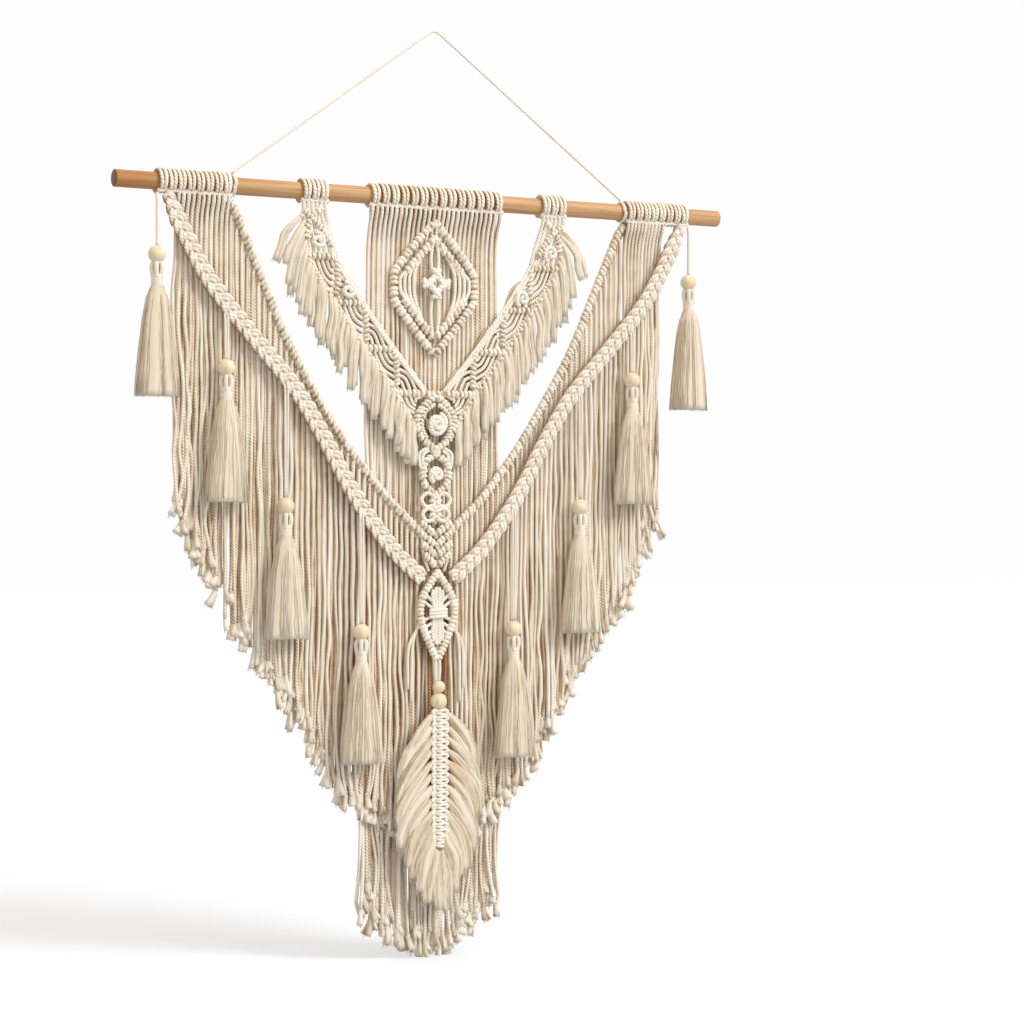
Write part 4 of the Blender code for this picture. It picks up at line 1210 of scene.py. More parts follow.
@dataclass
class Wing:
    """Lark's heads, the slanting band and its hanging cords.

    The photograph's two wings differ a little in how far they reach.
    """

    header: tuple[float, float] = (262.5, 350.5)
    knots: int = 8
    header_cords: int = 11
    rear_cords: int = 15
    reach: tuple[float, float] = (331.0, 318.0)
    band: Path = ((262, -17), (255, -27), (244, -50), (217, -110), (190, -170),
                  (155, -230), (115, -290), (66, -350), (34, -380), (14, -398))
    band_span: tuple[float, float] = (18.0, 258.0)
    pitches: tuple[float, float, float] = (6.9, 6.9, 5.2)
    fall: Path = ((360, -345), (333, -365), (300, -412), (280, -448), (258, -500),
                  (236, -520), (210, -560), (160, -638), (112, -707), (60, -742),
                  (0, -760))
    depth: Callable[[float], float] = stepped(-3.2, 2.0)
    band_depth: Callable[[float], float] = stepped(-5.4, -0.2)
    layers: Sequence[Curtain] = (
        Curtain(radius=2.3, wander=1.4, sway=0.7, tone=(0.66, 0.98), edge=0.5),
        HIDDEN_MIDDLE,
        replace(HIDDEN_REAR, rows=30, stages=7),
    )
    hitching: Hitching = Hitching(width=11.0, depth=8.8, cord=2.95, pitch=6.2,
                                  pair=1.1, slant=-2.2)

    def build(self, finishes: Finishes, side: Side) -> None:
        """Make the header, the band and all layers of cords."""
        skein = Skein(f"{side.word}_wing_cords", 21 + side.value)
        tufts = Skein(f"{side.word}_wing_tufts", 25 + side.value)
        self.header_curtain(skein, tufts, side)
        line = evenly(spline(in_space(self.band, side, self.depth), 90), 1.0)
        self.band_curtain(skein, tufts, side, line)
        # Painted shade: a darker flat cord behind the band's lower edge, where gaps would
        # show.
        across = unit(np.cross(FRONT, unit(np.gradient(line, axis=0))))
        across *= -np.sign(across[:, 2:])
        skein.lay(line + across * 5.0 - FRONT * 3.0, 4.4, flat=0.5, facing=FRONT,
                  tone=0.45)
        skein.piece(finishes.cord, Slot.CORD, f"{side.word}_wing")
        tufts.piece(finishes.brushed, Slot.BRUSHED, f"{side.word}_wing")
        band = Skein(f"{side.word}_wing_band", 23)
        hitch(band, in_space(self.band, side, self.band_depth), self.hitching)
        band.piece(finishes.cord, Slot.CORD, f"{side.word}_wing")

    def header_curtain(self, skein: Skein, tufts: Skein, side: Side) -> None:
        """Hang the cords that leave the dowel itself."""
        legs = larks_heads(skein, self.header, self.knots, side.value)
        legs = legs[np.abs(legs) < self.reach[side is Side.RIGHT]]
        legs = np.linspace(legs[0], legs[-1], self.header_cords)
        places = (legs, (legs[1:] + legs[:-1]) / 2,
                  np.linspace(legs[0] + 3, legs[-1] - 3, self.rear_cords))
        for layer, (xs, form) in enumerate(zip(places, self.layers)):
            feet = self.feet(xs, skein.random, 2.0 + 2.0 * layer, layer)
            hang(skein, tufts, first_knots(xs, 2.0, -60.0, layer), feet, form,
                 np.interp(np.abs(xs), (285, 310), (1.0, 1.7 - 0.35 * layer)))

    def band_curtain(self, skein: Skein, tufts: Skein, side: Side,
                     line: np.ndarray) -> None:
        """Hang the cords that leave the band, along its line."""
        order = np.argsort(line[:, 0])
        near, far = self.band_span
        for layer, (pitch, form) in enumerate(zip(self.pitches, self.layers)):
            reach = np.arange(near + (layer == 1) * pitch / 2, far, pitch)
            xs = side.value * reach
            z = np.interp(xs, line[order, 0], line[order, 2])
            out = unit(points(np.gradient(z, xs), 0.0, -1.0))
            deep = np.array([self.depth(x) for x in reach]) + (0.3 + 2.1 * layer)
            root = points(xs, deep, z)
            turned = root + out * 5.5
            below = root + out * (7.0, 0, 0) - (0, 0, 13.0)
            if layer:
                turned, below = root - (0, 0, 7.0), root - (0, 0, 15.0)
            tops = np.stack((root + out * 1.0, turned, below), axis=1)
            feet = self.feet(tops[:, -1, 0], skein.random, deep + 1.0, layer)
            feet[:, 2] = np.minimum(feet[:, 2], tops[:, -1, 2] - 40)
            hang(skein, tufts, tops, feet, form)

    def feet(self, xs: np.ndarray, draw: np.random.Generator,
             depth: float | np.ndarray, layer: int) -> np.ndarray:
        """Return where the cords that hang at xs end."""
        z = height_at(self.fall, np.abs(xs)) + 6
        z = z + draw.uniform(0, 1, len(xs)) ** 2 * (28 + 8 * layer)
        return points(xs + draw.normal(0, 1.5, len(xs)), depth, z)


# --- braids -----------------------------------------------------------------
@dataclass
class Braid:
    """A flat three-strand braid of paired cords, across one wing."""

    path: Path = ((342, -14), (337, -20.9), (323, -50), (288, -110), (236, -170),
                  (182, -230), (143, -290), (108, -350), (62, -410), (20, -448))
    depth: Callable[[float], float] = stepped(-12.4, -9.4)
    period: float = 39.6
    sway: float = 6.3
    lift: float = 2.3
    cord: float = 2.9
    gap: float = 4.3

    def build(self, finishes: Finishes, side: Side) -> None:
        """Lay the braid and the cords of the tassels that hang on it."""
        skein = Skein(f"{side.word}_braid_cords", 31)
        line = evenly(spline(in_space(self.path, side, self.depth), 120), 2.6)
        run = lengths_along(line)
        across = unit(np.cross(FRONT, unit(np.gradient(line, axis=0))))
        # Painted shadow: a flat dark strip behind the braid.
        skein.lay(line, 5.0, flat=0.3, facing=FRONT, tone=0.15)
        narrow = np.interp(run, (0, 30), (0.45, 1.0))
        for bundle in range(3):
            phase = math.tau * (run / self.period + bundle / 3)
            wave = np.sin(phase) + 0.12 * np.sin(3 * phase)
            middle = (line + across * (self.sway * wave * narrow)[:, None]
                      + FRONT * (self.lift * np.sin(2 * phase))[:, None])
            beside = unit(np.cross(FRONT, unit(np.gradient(middle, axis=0))))
            for offset in (-self.gap / 2, self.gap / 2):
                # Painted light and shade: a cord is lighter where it lifts toward the room
                # and deeper beside its middle.
                tone = skein.random.uniform(0.6, 0.75) + 0.2 * np.sin(2 * phase)
                skein.lay(middle + beside * (offset * narrow)[:, None], self.cord,
                          sides=10, flat=0.66, facing=FRONT, tone=tone, edge=0.75)
        self.hangers(skein, side)
        skein.piece(finishes.plait, Slot.CORD, f"{side.word}_braid")

    def hangers(self, skein: Skein, side: Side) -> None:
        """Lay a pair of cords above each bead, and one above the outermost."""
        for tassel in TASSELS:
            start = height_at(self.path, tassel.x) - 8.0
            depth, shifts, radius = self.depth(tassel.x) + 2.0, (-1.5, 1.5), 1.35
            if tassel is TASSELS[0]:
                start, depth, shifts, radius = -14.0, -8.0, (0.0,), 1.9
            x = side.value * tassel.x
            for shift in shifts:
                skein.thread([(x + shift * 1.3, depth, start),
                              (x + shift * 1.2, tassel.bead_y, start - 14),
                              (x + shift * 0.8, tassel.bead_y, tassel.bead_z + 8)],
                             18, radius, tone=0.8)


# --- tassels ----------------------------------------------------------------
@dataclass
class Tassel:
    """One tassel: looped crown, wrapped neck and combed skirt."""

    x: float
    bead_z: float
    bead_y: float
    skirt_y: float
    length: float = 152.0
    crown: Sequence[tuple[float, float]] = (
        (1.5, -9.8), (5.0, -10.4), (5.9, -14.0), (5.9, -18.0), (5.0, -22.5),
        (4.4, -26.0),
    )
    crown_cords: int = 5
    crown_from: tuple[float, float] = (-0.486, -0.874)
    neck: float = 5.8
    wraps: int = 8
    wrap_span: tuple[float, float] = (22.0, 36.0)
    skirt: Tuft = Tuft(widths=(6.6, 9.8, 13.0, 16.2, 19.3, 22.0, 24.2, 26.0),
                       depths=(6.4, 8.0, 9.4, 10.6, 11.4, 12.0, 12.4, 12.6),
                       sides=40, rows=22, clump=0.035, fibres=190, fibre=0.45,
                       ragged=0.05, beyond=0.015)

    def build(self, finishes: Finishes, side: Side, number: int) -> None:
        """Make the tassel below its bead."""
        name = f"{side.word}_tassel_{number}"
        skein = Skein(f"{name}_threads", 40 + number + side.value * 10)
        x, y, z = bead = (side.value * self.x, self.bead_y, self.bead_z)
        self.crown_loops(skein, bead)
        turns = np.linspace(0, self.wraps * math.tau, self.wraps * 14 + 1)
        skein.lay(points(x + self.neck * np.cos(turns), y + self.neck * np.sin(turns),
                         z - np.linspace(*self.wrap_span, len(turns))),
                  1.25, sides=6, tone=0.9)
        # Painted shadow: a dark core in the slot of the crown.
        skein.thread([(x, y, z + drop) for drop in (-10, -24, -38)], 6, 3.9,
                     sides=10, tone=-0.2)
        foot = z - self.length
        comb_out(skein, [(x, y, z - 34),
                         (x, 0.6 * y + 0.4 * self.skirt_y, z - 56),
                         (x, self.skirt_y, 0.5 * (z - 56 + foot)),
                         (x, self.skirt_y, foot)], self.skirt)
        skein.piece(finishes.brushed, Slot.BRUSHED, name)

    def crown_loops(self, skein: Skein, bead: Sequence[float]) -> None:
        """Lay the cords that loop over the bead's cord, with a slot between."""
        toward = math.atan2(*self.crown_from[::-1])
        for place in range(self.crown_cords):
            turn = toward + math.tau * place / self.crown_cords
            out = np.array((math.cos(turn), math.sin(turn), 0.0))
            line = spline([out * reach + (0, 0, z) for reach, z in self.crown], 14)
            skein.lay(line + bead, 2.75, tone=0.9)


TASSELS = (
    Tassel(352, -83, -9.5, -10.5, 158.0),
    Tassel(269, -207, -11.6, -14.0),
    Tassel(195, -363, -12.0, -14.0),
    Tassel(101, -509, -15.8, -19.0),
)


# --- garlands ---------------------------------------------------------------
@dataclass
class Garland:
    """The knotted swag that slants from its tab to the centre column.

    Each step is the outer and the inner end and the height of a level bar.
    """

    tab: tuple[float, float] = (142.0, 175.0)
    tab_knots: int = 3
    depth: float = -3.6
    outer_start: tuple[float, float] = (171, -24)
    inner_start: tuple[float, float] = (147, -18)
    steps: Sequence[tuple[float, float, float]] = (
        (164, 129, -75), (130, 94, -127), (91, 54, -179), (51, 11, -230),
    )
    last_step: tuple[float, float, float] = (26, 8, -262)
    end: tuple[float, float] = (28, -266)
    crossing: Sequence[Path] = (((150, -20), (165, -36), (168, -58)),
                                ((170, -24), (152, -40), (136, -64)))
    bar: Hitching = Hitching(width=10.2, depth=9.4, cord=2.5, pitch=5.6, pair=0.7)
    post: Hitching = Hitching(width=9.0, depth=8.8, cord=2.35, pitch=5.2, pair=0.6)
    chain: Hitching = Hitching(width=6.6, depth=7.0, cord=1.9, pitch=4.4)
    swirls: Path = ((155, -57), (116, -113))
    fan_cords: tuple[int, int] = (5, 4)
    bunches: int = 38
    leans: Path = ((0, 34), (0.05, 20), (0.14, 9), (0.3, 5), (0.8, 3), (1, 0))
    drops: Path = ((0, 60), (0.1, 70), (1, 58))
    lock: Tuft = Tuft(widths=(1.9, 2.7, 3.4, 4.0, 4.4, 4.4),
                      depths=(1.9, 2.3, 2.6, 2.7, 2.6, 2.2), fibres=22, ragged=0.16,
                      rows=10, sides=12, clump=0.10, beyond=0.04)

    def build(self, finishes: Finishes, side: Side) -> None:
        """Make the tab, the stepped work, its fans and its fringe."""
        skein = Skein(f"{side.word}_garland_knots", 51)
        legs = larks_heads(skein, self.tab, self.tab_knots, side.value)
        self.start(skein, side, np.sort(np.abs(legs)))
        self.stairs(skein, side)
        for cell in zip(self.steps, (*self.steps[1:], self.last_step)):
            self.outer_fan(skein, side, *cell)
            if cell[1] is not self.last_step:
                self.inner_fan(skein, side, *cell)
        skein.piece(finishes.cord, Slot.CORD, f"{side.word}_garland")
        self.fringe(finishes, side)

    def start(self, skein: Skein, side: Side, legs: np.ndarray) -> None:
        """Lay the cords and the swirl between the tab and the first bar."""
        outer, inner, z = self.steps[0]
        for leg, share in zip(legs, np.arange(len(legs)) / (len(legs) - 1)):
            goal = inner + (outer - inner) * share
            skein.thread([(side.value * leg, -7.5, -12), (side.value * leg, -6.5, -20),
                          (side.value * (0.6 * leg + 0.4 * goal), self.depth, -42),
                          (side.value * goal, self.depth, z + 2)],
                         16, 2.2, sides=7, tone=0.7)
        for path in self.crossing:
            hitch(skein, in_space(path, side, self.depth - 3.0), self.post)
        for x, z in self.swirls:
            roll(skein, (side.value * x, self.depth - 4.5, z), 9.0, 2.9, 1.5,
                 start=1.2 * side.value)

    def edge(self) -> list[tuple[float, float]]:
        """Return the outer edge as (x, z) pairs."""
        return [self.outer_start, *((x, z) for x, _, z in self.steps), self.end]

    def stairs(self, skein: Skein, side: Side) -> None:
        """Lay the level bars, the uprights and both edges."""
        for outer, inner, z in self.steps:
            hitch(skein, in_space(((outer, z), (inner, z)), side, self.depth - 0.8),
                  self.bar)
        for (_, top, high), (foot, _, low) in zip(self.steps, self.steps[1:]):
            path = ((top, high - 4), ((top + foot) / 2 - 2, (high + low) / 2),
                    (foot, low + 4))
            hitch(skein, in_space(path, side, self.depth - 0.6), self.post)
        hitch(skein, in_space(self.edge(), side, self.depth - 0.3), self.chain)
        inner = [self.inner_start, *((x, z + 2) for _, x, z in self.steps)]
        line = in_space(inner, side, self.depth)
        for shift in (0.0, 4.2):
            skein.thread(line + (side.value * shift, -0.3 * shift, 0), 50, 2.2,
                         sides=7, tone=0.85)

    def outer_fan(self, skein: Skein, side: Side, bar: tuple[float, float, float],
                  after: tuple[float, float, float]) -> None:
        """Curve cords from a bar down to the outer end of the next one."""
        (outer, inner, z), (foot, _, low) = bar, after
        for step in range(self.fan_cords[0]):
            share = (step + 0.7) / self.fan_cords[0]
            start = (outer - (outer - inner) * share * 0.86, z - 3)
            goal = (foot + 1.0 - 0.5 * step, low + 5 + (z - low) * share * 0.7)
            bend = (0.62 * start[0] + 0.38 * goal[0],
                    0.36 * start[1] + 0.64 * goal[1])
            self.fan_cord(skein, side, (start, bend, goal), step, 1)

    def inner_fan(self, skein: Skein, side: Side, bar: tuple[float, float, float],
                  after: tuple[float, float, float]) -> None:
        """Curve cords from the inner edge down to the next bar."""
        (_, inner, z), (foot, toe, low) = bar, after
        for step in range(self.fan_cords[1]):
            share = (step + 0.8) / (self.fan_cords[1] + 0.6)
            start = (inner - 1, z - 6 - (z - low) * share * 0.75)
            goal = (toe + (foot - toe) * share * 0.9, low + 4)
            bend = (0.42 * start[0] + 0.58 * goal[0] - 1.0,
                    0.55 * start[1] + 0.45 * goal[1] + 4.0)
            self.fan_cord(skein, side, (start, bend, goal), step, -1)

    def fan_cord(self, skein: Skein, side: Side, path: Path, step: int,
                 sign: int) -> None:
        """Lay one cord of a fan, deeper at its sides, and a dark cord of painted shadow
        behind it.
        """
        skein.thread(in_space(path, side, self.depth + 0.4 * (step % 2)), 16, 2.05,
                     tone=0.8, facing=FRONT, edge=0.35)
        behind = np.array((side.value * 2.6, 0, 1.5)) * sign
        skein.thread(in_space(path, side, self.depth + 4.0) + behind, 12, 2.7,
                     sides=6, tone=SHADOW_TONE)

    def fringe(self, finishes: Finishes, side: Side) -> None:
        """Tie the bunches along the outer edge."""
        skein = Skein(f"{side.word}_fringe_bunches", 61)
        draw = skein.random
        edge = spline(in_space(self.edge(), side, self.depth - 2.5), 60)
        total = lengths_along(edge)[-1]
        roots = at_lengths(edge, np.linspace(3, total - 4, self.bunches))
        for place, root in enumerate(roots):
            share = place / (self.bunches - 1)
            lean = side.value * np.interp(share, *zip(*self.leans))
            lean += draw.normal(0, 2.2)
            drop = np.interp(share, *zip(*self.drops)) + draw.normal(0, 4.0)
            depth = -1.6 * (place % 3) - draw.uniform(0, 0.8)
            bend = draw.normal(0, 1.2)
            knots = np.array([(0, 0, 0), (lean * 0.30, depth, -9),
                              (lean * 0.66 + bend, depth, -0.42 * drop),
                              (lean * 0.85 - bend, depth + 0.4, -0.72 * drop),
                              (lean, depth + 1.0, -drop)]) + root
            wide = draw.uniform(0.85, 1.15)
            widths = tuple(wide * width for width in self.lock.widths)
            comb_out(skein, knots, replace(self.lock, widths=widths), (0.45, 0.85))
            ring = np.linspace(0, math.tau, 13)
            skein.lay(points(root[0] + 0.10 * lean + 2.3 * np.cos(ring),
                             root[1] + 2.3 * np.sin(ring), root[2] - 3.0),
                      1.6, sides=6, tone=0.85)
        skein.piece(finishes.brushed, Slot.BRUSHED, f"{side.word}_garland_fringe")


# --- centre column ----------------------------------------------------------
@dataclass
class CentreColumn:
    """Crossing rows of knots with a rose, from the garlands to the pendant."""

    depth: float = -6.0
    foot_depth: float = -9.0
    top: Path = ((-9.6, -231.0), (9.6, -231.0))
    path: Path = ((2, -233), (16, -245), (24, -257), (24.5, -268), (17, -284),
                  (-2, -299), (11, -308), (17, -319), (17, -331), (10, -342),
                  (-2, -351), (4.5, -358), (-2, -365), (4.5, -373), (-2, -381))
    inside: Path = ((3, -243), (13, -250), (18.5, -261), (18, -273), (11, -285))
    outside: Path = ((16, -380), (17.5, -396), (16.5, -420), (10, -440))
    roses: Sequence[tuple[float, float, float, float]] = (
        (-266.0, 12.6, 3.3, 2.1), (-325.5, 8.6, 3.0, 1.6),
    )
    loops: Sequence[tuple[float, float, float]] = (
        (20.5, -308, 15), (16.0, -308, 11),
    )
    ears: Sequence[tuple[float, float, float]] = (
        (19.0, -355.5, 8.2), (17.5, -373, 7.6),
    )
    rows: Sequence[tuple[float, float]] = (
        (19, -383), (19, -395.5), (18, -408), (16, -420.5),
    )
    form: Hitching = Hitching(width=10.0, depth=9.2, cord=2.7, pitch=5.4, pair=0.8)
    fine: Hitching = Hitching(width=6.4, depth=7.0, cord=1.8, pitch=4.2)

    def build(self, finishes: Finishes) -> None:
        """Make the column and everything on it."""
        skein = Skein("centre_column_knots", 71)
        hitch(skein, self.placed(self.top, Side.RIGHT), self.form)
        for side in Side:
            hitch(skein, self.placed(self.path, side), self.form)
            hitch(skein, self.placed(self.inside, side, -1.2), self.fine)
            self.side_loops(skein, side)
            for row, (reach, high) in enumerate(self.rows):
                line = ((reach, high), (reach * 0.45, high - 7), (0, high - 15))
                hitch(skein, self.placed(line, side, -0.4 - 0.5 * (row % 2)),
                      self.form)
            skein.thread(self.placed(self.outside, side, 1.0), 24, 2.0, sides=7,
                         tone=0.6)
        for z, reach, cord, turns in self.roses:
            roll(skein, (0.0, self.depth - 3.0, z), reach, cord, turns)
            # Painted shadow: a thick dark cord behind the rose.
            skein.thread([(-reach, self.depth, z), (reach, self.depth, z)], 6, 6.0,
                         sides=10, tone=0.25)
        skein.piece(finishes.cord, Slot.CORD, "centre_column")

    def placed(self, path: Path, side: Side, rise: float = 0.0) -> np.ndarray:
        """Return the points of a path on the column, whose foot stands out more."""
        return np.array([(side.value * x, rise + np.interp(
            z, (-408, -402), (self.foot_depth, self.depth)), z) for x, z in path])

    def side_loops(self, skein: Skein, side: Side) -> None:
        """Lay the open loops beside the crossings and the small rings."""
        for reach, middle, tall in self.loops:
            bow = ((9, middle + tall), (reach, middle + tall * 0.55),
                   (reach + 1.0, middle - 2), (reach - 2, middle - tall * 0.8),
                   (12, middle - tall * 1.35))
            skein.thread(self.placed(bow, side), 22, 2.1, tone=0.85)
        for reach, middle, tall in self.ears:
            bow = ((2.0, middle + tall * 0.6), (reach * 0.62, middle + tall),
                   (reach, middle + 1.0), (reach * 0.7, middle - tall * 0.95),
                   (2.0, middle - tall * 0.7))
            skein.thread(self.placed(bow, side, -1.2), 22, 2.5, tone=0.8)


# --- pendant ----------------------------------------------------------------
@dataclass
class Pendant:
    """The knotted diamond below the column with the cords caught in it."""

    depth: float = -12.0
    path: Path = ((0, -441), (9, -453), (19, -469), (22.5, -486), (19.5, -503),
                  (10, -525), (0, -545))
    rib_ends: Path = ((-545, 2), (-503, 17), (-486, 20), (-469, 17), (-441, 2))
    ribs: Path = ((-466, -475), (-475, -484), (-497, -492), (-506, -500),
                  (-515, -509))
    bows: tuple[float, float] = (2.4, 6.6)
    loose: Path = ((64, 31), (48, 36))
    wrap: float = -489.0
    wrap_reach: float = 11.5
    wrap_cord: float = 2.1
    form: Hitching = Hitching(width=10.4, depth=9.2, cord=3.1, pitch=4.8, pair=0.5,
                              slant=-2.4)
    loop: tuple[float, float] = (-546.0, -570.0)

    def build(self, finishes: Finishes) -> None:
        """Make the pendant."""
        skein = Skein("pendant_knots", 81)
        for side in Side:
            hitch(skein, in_space(self.path, side, self.depth), self.form)
            for reach in self.bows:
                bow = ((reach * 0.9, -456 - reach * 0.8), (reach, -470),
                       (reach * 0.62, self.wrap), (reach, -509),
                       (reach * 0.8, -528 + reach * 0.9))
                skein.thread(in_space(bow, side, self.depth - 0.6), 22, 2.2,
                             tone=0.85)
            for start, goal in self.ribs:
                rib = ((height_at(self.rib_ends, start), start),
                       (11.5, 0.5 * (start + goal)), (6.0, goal))
                skein.thread(in_space(rib, side, self.depth + 0.4), 12, 2.0, tone=0.8)
            for drop, reach in self.loose:
                loose = ((19, -496), (25, -508), (reach, -530),
                         (reach + 1, -530 - drop))
                skein.thread(in_space(loose, side, self.depth + 4), 20, 2.0, sides=7,
                             tone=0.7)
            top, foot = self.loop
            twist = ((2.0, top + 6), (3.2, top - 8), (1.6, foot))
            skein.thread(in_space(twist, side, self.depth - 1), 12, 1.7, sides=7,
                         tone=0.85)
        shares = np.linspace(-1, 1, 15)
        for lane in (-1, 0, 1):
            skein.lay(points(self.wrap_reach * shares,
                             self.depth - 1.5 - 3.6 * (1 - shares ** 2),
                             self.wrap + 3.8 * lane + 0.8 * shares),
                      self.wrap_cord, tone=0.9)
        skein.piece(finishes.cord, Slot.CORD, "pendant")


# --- feather ----------------------------------------------------------------
@dataclass
class Feather:
    """A row of square knots with brushed cords combed out like a feather."""

    depth: float = -16.5
    top: float = -602.3
    spine_foot: float = -768.0
    tip: float = -838.0
    locks: int = 12
    lock_pitch: float = 14.4
    reaches: Path = ((0, 45), (0.25, 52), (0.6, 49), (0.85, 30), (1, 14))
    lock_feet: tuple[float, float] = (-676.0, -828.0)
    spine: float = 5.76
    knot_pitch: float = 7.4
    tail: Tuft = Tuft(widths=(5, 9, 12, 11, 5), depths=(3, 4, 4, 3, 2), fibres=70,
                      ragged=0.25, clump=0.12)
    barb: Tuft = Tuft(widths=(1.9, 3.6, 6.2, 7.8, 8.4, 8.0, 5.8),
                      depths=(2.0, 2.6, 2.9, 3.0, 2.8, 2.2, 1.4), fibres=60,
                      ragged=0.28, rows=13, clump=0.13, beyond=0.07, wobble=0.08,
                      edge=0.4)

    def build(self, finishes: Finishes) -> None:
        """Make the spine and the locks."""
        spine = Skein("feather_spine", 91)
        self.knots(spine)
        spine.piece(finishes.cord, Slot.CORD, "feather")
        barbs = Skein("feather_locks", 92)
        for side in Side:
            for place in range(self.locks):
                self.lock(barbs, side, place)
        comb_out(barbs, [(0, self.depth, self.spine_foot + 6), (0, self.depth, -795),
                         (1, self.depth, self.tip)], self.tail)
        barbs.piece(finishes.brushed, Slot.BRUSHED, "feather")

    def knots(self, skein: Skein) -> None:
        """Tie the square knots down the spine."""
        shares = np.linspace(-1, 1, 13)
        for z in np.arange(self.top - 3, self.spine_foot, -self.knot_pitch):
            for lift, sign in ((1.9, 1), (-1.9, -1)):
                skein.lay(points(self.spine * shares,
                                 self.depth - 1.4 - 4.2 * (1 - shares ** 2),
                                 z + lift + 1.0 * sign * shares), 2.0, tone=0.85)
            for side in Side:
                skein.thread([(side.value * 5.0, self.depth - 2.5, z + 3.0),
                              (side.value * 9.6, self.depth - 3.6, z + 0.8),
                              (side.value * 7.4, self.depth - 2.5, z - 3.0)],
                             8, 2.3, tone=0.9)
        # Painted shadow: a thick dark cord behind the knots, seen in the holes of the
        # spine.
        skein.thread([(0, self.depth, z)
                      for z in (self.top + 1, -680, self.spine_foot)],
                     20, 4.8, tone=0.1)

    def lock(self, skein: Skein, side: Side, place: int) -> None:
        """Comb out one lock from its root at the spine."""
        draw = skein.random
        share = place / (self.locks - 1)
        root = self.top - 2.0 - self.lock_pitch * place
        reach = np.interp(share, *zip(*self.reaches)) * draw.uniform(0.93, 1.0)
        foot = np.interp(share, (0, 1), self.lock_feet) + draw.normal(0, 4.0)
        drop = root - foot
        depth = self.depth - 1.0 + 0.9 * (place % 2)
        bend = draw.normal(0, 1.5, 2)
        knots = [(6, depth, root), (0.36 * reach, depth - 2.0, root - 0.13 * drop),
                 (0.74 * reach + bend[0], depth - 2.0, root - 0.42 * drop),
                 (0.95 * reach + bend[1], depth, root - 0.74 * drop),
                 (reach, depth + 1, foot)]
        wide = draw.uniform(0.85, 1.2)
        shade = draw.uniform(-0.12, 0.12)
        widths = tuple(wide * width for width in self.barb.widths)
        comb_out(skein, np.array(knots) * (side.value, 1, 1),
                 replace(self.barb, widths=widths), (0.38 + shade, 0.7 + shade))


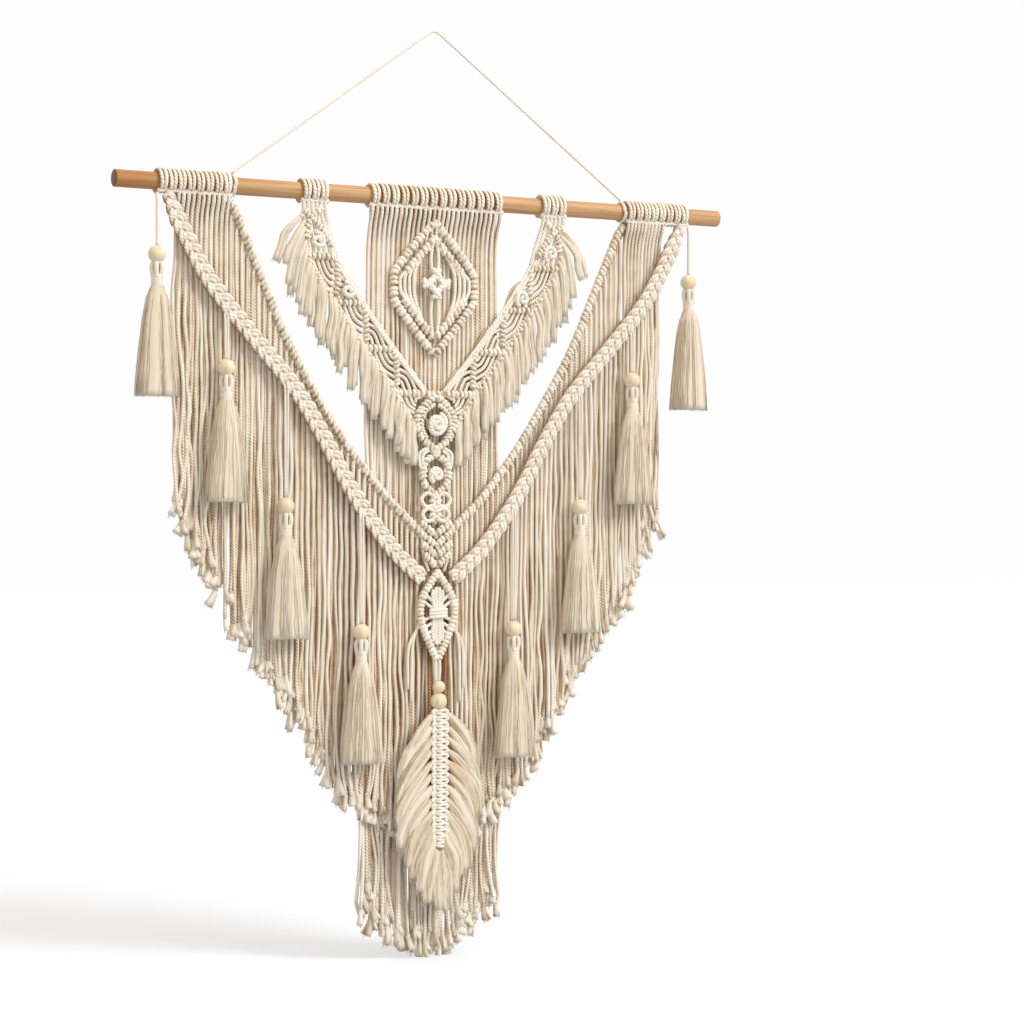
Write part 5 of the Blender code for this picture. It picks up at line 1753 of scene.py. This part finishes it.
# --- studio -----------------------------------------------------------------
@dataclass
class Studio:
    """A pale seamless floor, soft light and the camera of the photograph.

    Camera, lights and floor are placed in metres.
    """

    camera_at: tuple[float, float, float] = (-1.42422, -2.75552, -0.56829)
    yaw: float = 29.0601
    roll: float = 0.1913
    lens: float = 92.097
    sensor: float = 36.0
    middle: tuple[float, float, float] = (0.0, 0.0, -0.55)
    floor_gap: float = 0.004
    floor_reach: float = 14.0
    floor_colour: str = "#C0C6D1"
    floor_glow: float = 0.38
    ambient: float = 0.9
    ambient_colour: str = "#FFF4E4"
    key: float = 1.9
    key_from: tuple[float, float, float] = (1.59, -2.085, 1.74)
    key_angle: float = 22.0
    top: float = 10.0
    top_from: tuple[float, float, float] = (0.3, -0.9, 3.0)
    top_size: float = 1.6

    def camera(self) -> None:
        """Place the camera at the photograph's angle."""
        data = bpy.data.cameras.new("photograph_camera")
        data.lens = self.lens
        data.sensor_width = self.sensor
        data.clip_end = 100.0
        camera = put_in_scene(data.name, data)
        cos, sin = math.cos(math.radians(self.yaw)), math.sin(math.radians(self.yaw))
        turned = Matrix(((cos, 0, -sin), (-sin, 0, -cos), (0, 1, 0))).to_4x4()
        camera.matrix_world = (Matrix.Translation(self.camera_at) @ turned
                               @ Matrix.Rotation(math.radians(self.roll), 4, "Z"))
        bpy.context.scene.camera = camera

    def floor(self, foot: float) -> None:
        """Lay the pale floor just below the work."""
        deselect()
        bpy.ops.mesh.primitive_plane_add(
            size=2 * self.floor_reach, location=(0, 0, foot - self.floor_gap))
        floor = bpy.context.object
        floor.name = "studio_floor"
        rest_in_place(floor)
        material, tree, shader = start_material(
            "pale_studio_floor", Base_Color=linear(self.floor_colour), Roughness=0.9,
            Specular_IOR_Level=0.0, Emission_Color=linear("#FFFFFF"))
        seen = add_node(tree, "LightPath").outputs["Is Camera Ray"]
        tree.links.new(sum_of(tree, seen, self.floor_glow, 0.0),
                       shader.inputs["Emission Strength"])
        floor.data.materials.append(material)
        floor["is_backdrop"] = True

    def lamp(self, name: str, kind: str, place: tuple[float, float, float],
             **settings: float) -> None:
        """Hang a light that faces the middle of the work."""
        data = bpy.data.lights.new(name, kind)
        for setting, value in settings.items():
            setattr(data, setting, value)
        lamp = put_in_scene(name, data)
        lamp.location = Vector(place) + Vector(self.middle)
        lamp.rotation_euler = Vector(place).to_track_quat("Z", "Y").to_euler()

    def surroundings(self) -> None:
        """Wrap the scene in white that is seen, and in soft warm light."""
        world = bpy.data.worlds.new("white_studio")
        world.use_nodes = True
        tree = world.node_tree
        back = tree.nodes["Background"]
        seen = add_node(tree, "LightPath").outputs["Is Camera Ray"]
        tree.links.new(mix(tree, seen, linear(self.ambient_colour),
                           linear("#FEFEFE")), back.inputs["Color"])
        tree.links.new(sum_of(tree, seen, 1.0 - self.ambient, self.ambient),
                       back.inputs["Strength"])
        bpy.context.scene.world = world
        bpy.context.scene.view_settings.view_transform = "Standard"

    def build(self, foot: float) -> None:
        """Set up floor, light and surroundings."""
        self.floor(foot)
        self.lamp("key_softbox", "SUN", self.key_from, energy=self.key,
                  angle=math.radians(self.key_angle))
        self.lamp("top_softbox", "AREA", self.top_from, energy=self.top,
                  size=self.top_size)
        self.surroundings()


def main() -> None:
    """Build the studio and the work, piece by piece."""
    logging.basicConfig(level=logging.INFO, format="%(name)s %(message)s")
    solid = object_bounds()
    studio = Studio()
    studio.camera()
    finishes = Finishes()
    HangingCord().build(finishes)
    studio.build(solid[0][2])
    for part in (Dowel(), Bead(), CentrePanel()):
        part.build(finishes)
    for side in Side:
        for part in (Tie(), Wing(), Braid(), Garland()):
            part.build(finishes, side)
        for number, tassel in enumerate(TASSELS, 1):
            tassel.build(finishes, side, number)
    for part in (CentreColumn(), Pendant(), Feather()):
        part.build(finishes)


if __name__ == "__main__":
    main()
